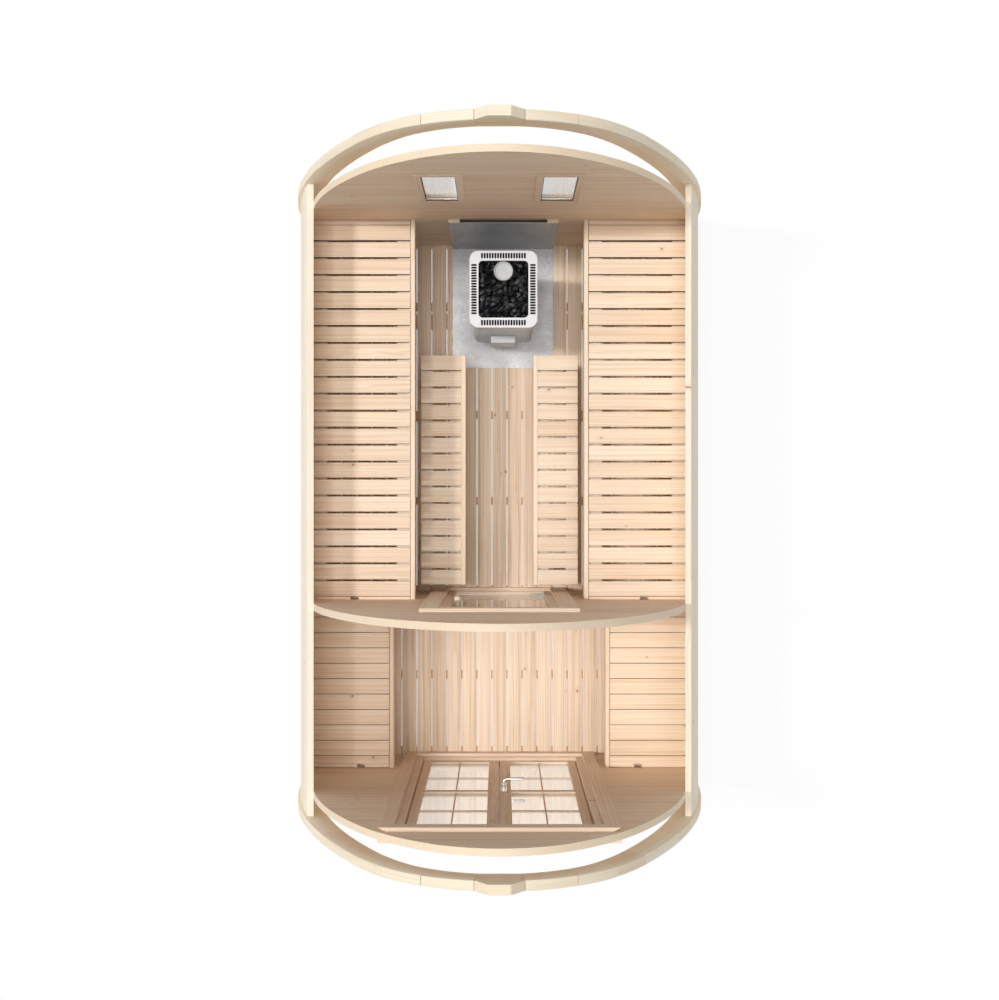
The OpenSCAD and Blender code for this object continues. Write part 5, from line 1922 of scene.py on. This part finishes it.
@dataclass
class HeaterCorner:
    """The heater with its slotted rim, stones, cup and control box, its shield and its floor plate."""

    rim: Point = (0.380, 0.430, 0.030)
    rim_corner: float = 0.048
    rim_borders: Pair = (0.050, 0.055)
    hole_corner: float = 0.025
    slot: Point = (0.011, 0.032, 0.015)
    slots: tuple[int, int] = (17, 19)
    stone: float = 0.042
    screw_margins: Pair = (0.066, 0.08)
    cup_profile: tuple[Pair, ...] = (
        (0.0, 0.0), (0.0, 0.046), (0.002, 0.0495), (0.006, 0.0515), (0.05, 0.053), (0.0575, 0.053),
        (0.0595, 0.052), (0.0600, 0.0505), (0.0592, 0.0492), (0.053, 0.0475), (0.0495, 0.045), (0.048, 0.040),
        (0.048, 0.0))

    @property
    def hole(self) -> Pair:
        """The sides of the rim's opening."""
        return self.rim[0] - 2 * self.rim_borders[0], self.rim[1] - 2 * self.rim_borders[1]

    def make_rim(self, shop: Shop) -> None:
        """Makes the slotted ring on top of the heater, with a near-black sheet under each row of slots:
        painted shade for the dark inside of the heater.

        Args:
            shop: the finishes and the trees.
        """
        low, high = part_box("heater_rim")
        middle = (low + high) / 2
        values = {
            "Width": self.rim[0], "Length": self.rim[1], "Corner": self.rim_corner,
            "Hole Width": self.hole[0], "Hole Length": self.hole[1], "Hole Corner": self.hole_corner,
            "Height": self.rim[2], "Slot Length": self.slot[1], "Slot Width": self.slot[0],
            "Slot Pitch": self.slot[2], "Slots Front": self.slots[0], "Slots Side": self.slots[1],
            "Base": (middle.x, middle.y, low.z), "Finish": shop.palette.get("enamel"),
            "Slot Finish": shop.palette.get("recess")}
        dressed(shop.jigs.rim.make("slotted_rim", values), "pod", "heater_enamel", "heater_rim")
        # painted shade: near-black strips just under the slots, seen through them as the dark inside of the
        # heater
        shade_sheet = Piece("rim_slot_shade_sheet")
        half = Vector((self.rim[0] - self.rim_borders[0], self.rim[1] - self.rim_borders[1])) / 2
        front = (self.slots[0] * self.slot[2] / 2, self.slot[1] / 2 + MM)
        side = (self.slot[1] / 2 + MM, self.slots[1] * self.slot[2] / 2)
        for x, y, (reach_x, reach_y) in (
            (0.0, -half.y, front), (0.0, half.y, front), (-half.x, 0.0, side), (half.x, 0.0, side)):
            shade_sheet.board(
                block(
                    (middle.x + x - reach_x, middle.x + x + reach_x),
                (middle.y + y - reach_y, middle.y + y + reach_y), (low.z + MM, low.z + 2 * MM)), 0.2 * MM)
        shop.hand_in(shade_sheet, "recess", "heater_enamel")

    def make_stones(self, shop: Shop) -> None:
        """Heaps the stones in the heater.

        Args:
            shop: the finishes and the trees.
        """
        low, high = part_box("heater_stones")
        middle = (low + high) / 2
        spread = self.stone * 0.8
        values = {
            "Width": self.hole[0] - spread, "Length": self.hole[1] - spread, "Stone": self.stone,
            "Columns": 8, "Rows": 10, "Drop": self.stone * 0.55, "Seed": 7,
            "Centre": (middle.x, middle.y, high.z - self.stone * 0.52), "Finish": shop.palette.get("stones")}
        dressed(shop.jigs.stones.make("stone_heap", values), "pod", "stones", "heater_stones")

    def build(self, shop: Shop) -> None:
        """Makes the heater and what stands round it.

        Args:
            shop: the finishes and the trees.
        """
        # the body takes the blue-tinted steel, a painted offset for warm bounced light
        shop.coat("heater_body", "steel")
        self.make_rim(shop)
        self.make_stones(shop)
        low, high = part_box("heater_cup")
        cup = Piece("scent_cup")
        cup.lathe(
            self.cup_profile, Vector(((low.x + high.x) / 2, (low.y + high.y) / 2, low.z)), Vector((0, 0, 1)),
            64)
        shop.hand_in(cup, "brushed", "heater_enamel", "heater_cup")
        shop.timbers("control_box", "heater_control_box", "box", "heater_steel", 3 * MM, 5)
        shop.timbers("shield_batten_boards", "shield_battens", "floor", "wall_boards", 2 * MM, 101)
        shop.coat("heat_shield", "shield")
        shop.coat("floor_plate", "plate")
        sheet = box_of("heat_shield")
        spread = (sheet.size.x - self.screw_margins[0], sheet.size.z - self.screw_margins[1])
        shop.screw(
            "shield_screws", "pod", (sheet.middle.x, sheet.low.y, sheet.middle.z), (2, 5), spread, QUARTER,
            5 * MM)


# ---------------------------------------------------------------- the room round the pod


@dataclass
class Studio:
    """A pale floor, a soft sky, a broad lamp, three narrow ones from the left, and the overhead camera."""

    camera_height: float = 9.147
    lens: float = 52.25
    sensor: float = 36.0
    sky: float = 0.22
    lamps: tuple[tuple[str, float, float, Point], ...] = (
        ("side_lamp", 0.50, 4.0, (-0.66, 0.06, 1.0)), ("middle_lamp", 0.72, 4.0, (-0.58, 0.06, 1.0)),
        ("high_lamp", 0.38, 4.0, (-0.222, 0.06, 1.0)), ("top_lamp", 0.98, 26.0, (0.0, 0.0, 1.0)))
    floor_half: float = 25.0
    floor_colour: Colour = (0.98, 0.98, 0.98, 1.0)
    light_colour: Colour = (1.0, 1.0, 1.0, 1.0)
    white: float = 0.90

    def ground(self) -> None:
        """Lays the floor: white to look at, and plain where it takes the pod's shadow."""
        half = self.floor_half
        mesh = bpy.data.meshes.new("studio_floor")
        mesh.from_pydata(
            [(-half, -half, 0), (half, -half, 0), (half, half, 0), (-half, half, 0)], [], [(0, 1, 2, 3)])
        surface = Surface("studio_floor")
        surface.set(Base_Color=self.floor_colour, Roughness=0.9)
        surface.shader.inputs["Specular IOR Level"].default_value = 0.0
        path = surface.add("ShaderNodeLightPath").outputs
        mirrored = surface.math("MAXIMUM", path["Is Glossy Ray"], path["Is Transmission Ray"])
        seen = surface.math("MAXIMUM", path["Is Camera Ray"], mirrored)
        glow = surface.add("ShaderNodeEmission", {"Color": self.light_colour, "Strength": 1.0})
        surface.show(surface.times(seen, self.white), glow)
        mesh.materials.append(surface.material)
        linked("studio_floor", mesh)

    def light(self) -> None:
        """Sets the sky and the lamps."""
        world = bpy.data.worlds.new("studio_sky")
        world.use_nodes = True
        graph = Graph(world.node_tree)
        world.node_tree.nodes.clear()
        path = graph.add("ShaderNodeLightPath").outputs
        seen = graph.math("MAXIMUM", path["Is Camera Ray"], path["Is Glossy Ray"])
        level = graph.add(
            "ShaderNodeMapRange", {"Value": seen, "To Min": self.sky, "To Max": 1.0}).outputs["Result"]
        sky = graph.add("ShaderNodeBackground", {"Color": self.light_colour, "Strength": level})
        graph.add("ShaderNodeOutputWorld", {"Surface": sky.outputs[0]})
        bpy.context.scene.world = world
        for name, energy, spread, towards in self.lamps:
            lamp = linked(name, bpy.data.lights.new(name, "SUN"))
            lamp.data.energy = energy
            lamp.data.angle = math.radians(spread)
            lamp.rotation_euler = Vector(towards).to_track_quat("Z", "Y").to_euler()

    def camera(self) -> None:
        """Hangs the camera over the middle of the pod."""
        data = bpy.data.cameras.new("overhead")
        data.lens, data.sensor_width, data.sensor_fit = self.lens, self.sensor, "HORIZONTAL"
        camera = linked("overhead", data)
        camera.location = (0.0, 0.0, self.camera_height)
        bpy.context.scene.camera = camera

    def build(self) -> None:
        """Makes the whole studio."""
        bpy.context.scene.view_settings.view_transform = "Standard"
        self.ground()
        self.light()
        self.camera()


def clear_start() -> None:
    """Removes what an empty scene starts with, and keeps the frame."""
    kept = set(frame["nodes"].values()) | set(frame["bodies"].values())
    for item in list(bpy.data.objects):
        if item not in kept:
            bpy.data.objects.remove(item)


def main() -> None:
    """Builds the pod's looks on the frame, one sub-assembly at a time."""
    logging.basicConfig(level=logging.INFO, format="%(name)s: %(message)s")
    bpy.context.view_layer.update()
    clear_start()
    studio = Studio()
    studio.build()
    shop = Shop()
    for part in (
        Base(), SideWalls(), Hoops(), EndWalls(), FrontDoor(), SaunaDoor(), Benches(), HeaterCorner()):
        log.info("building %s", type(part).__name__)
        part.build(shop)


if __name__ == "__main__":
    main()
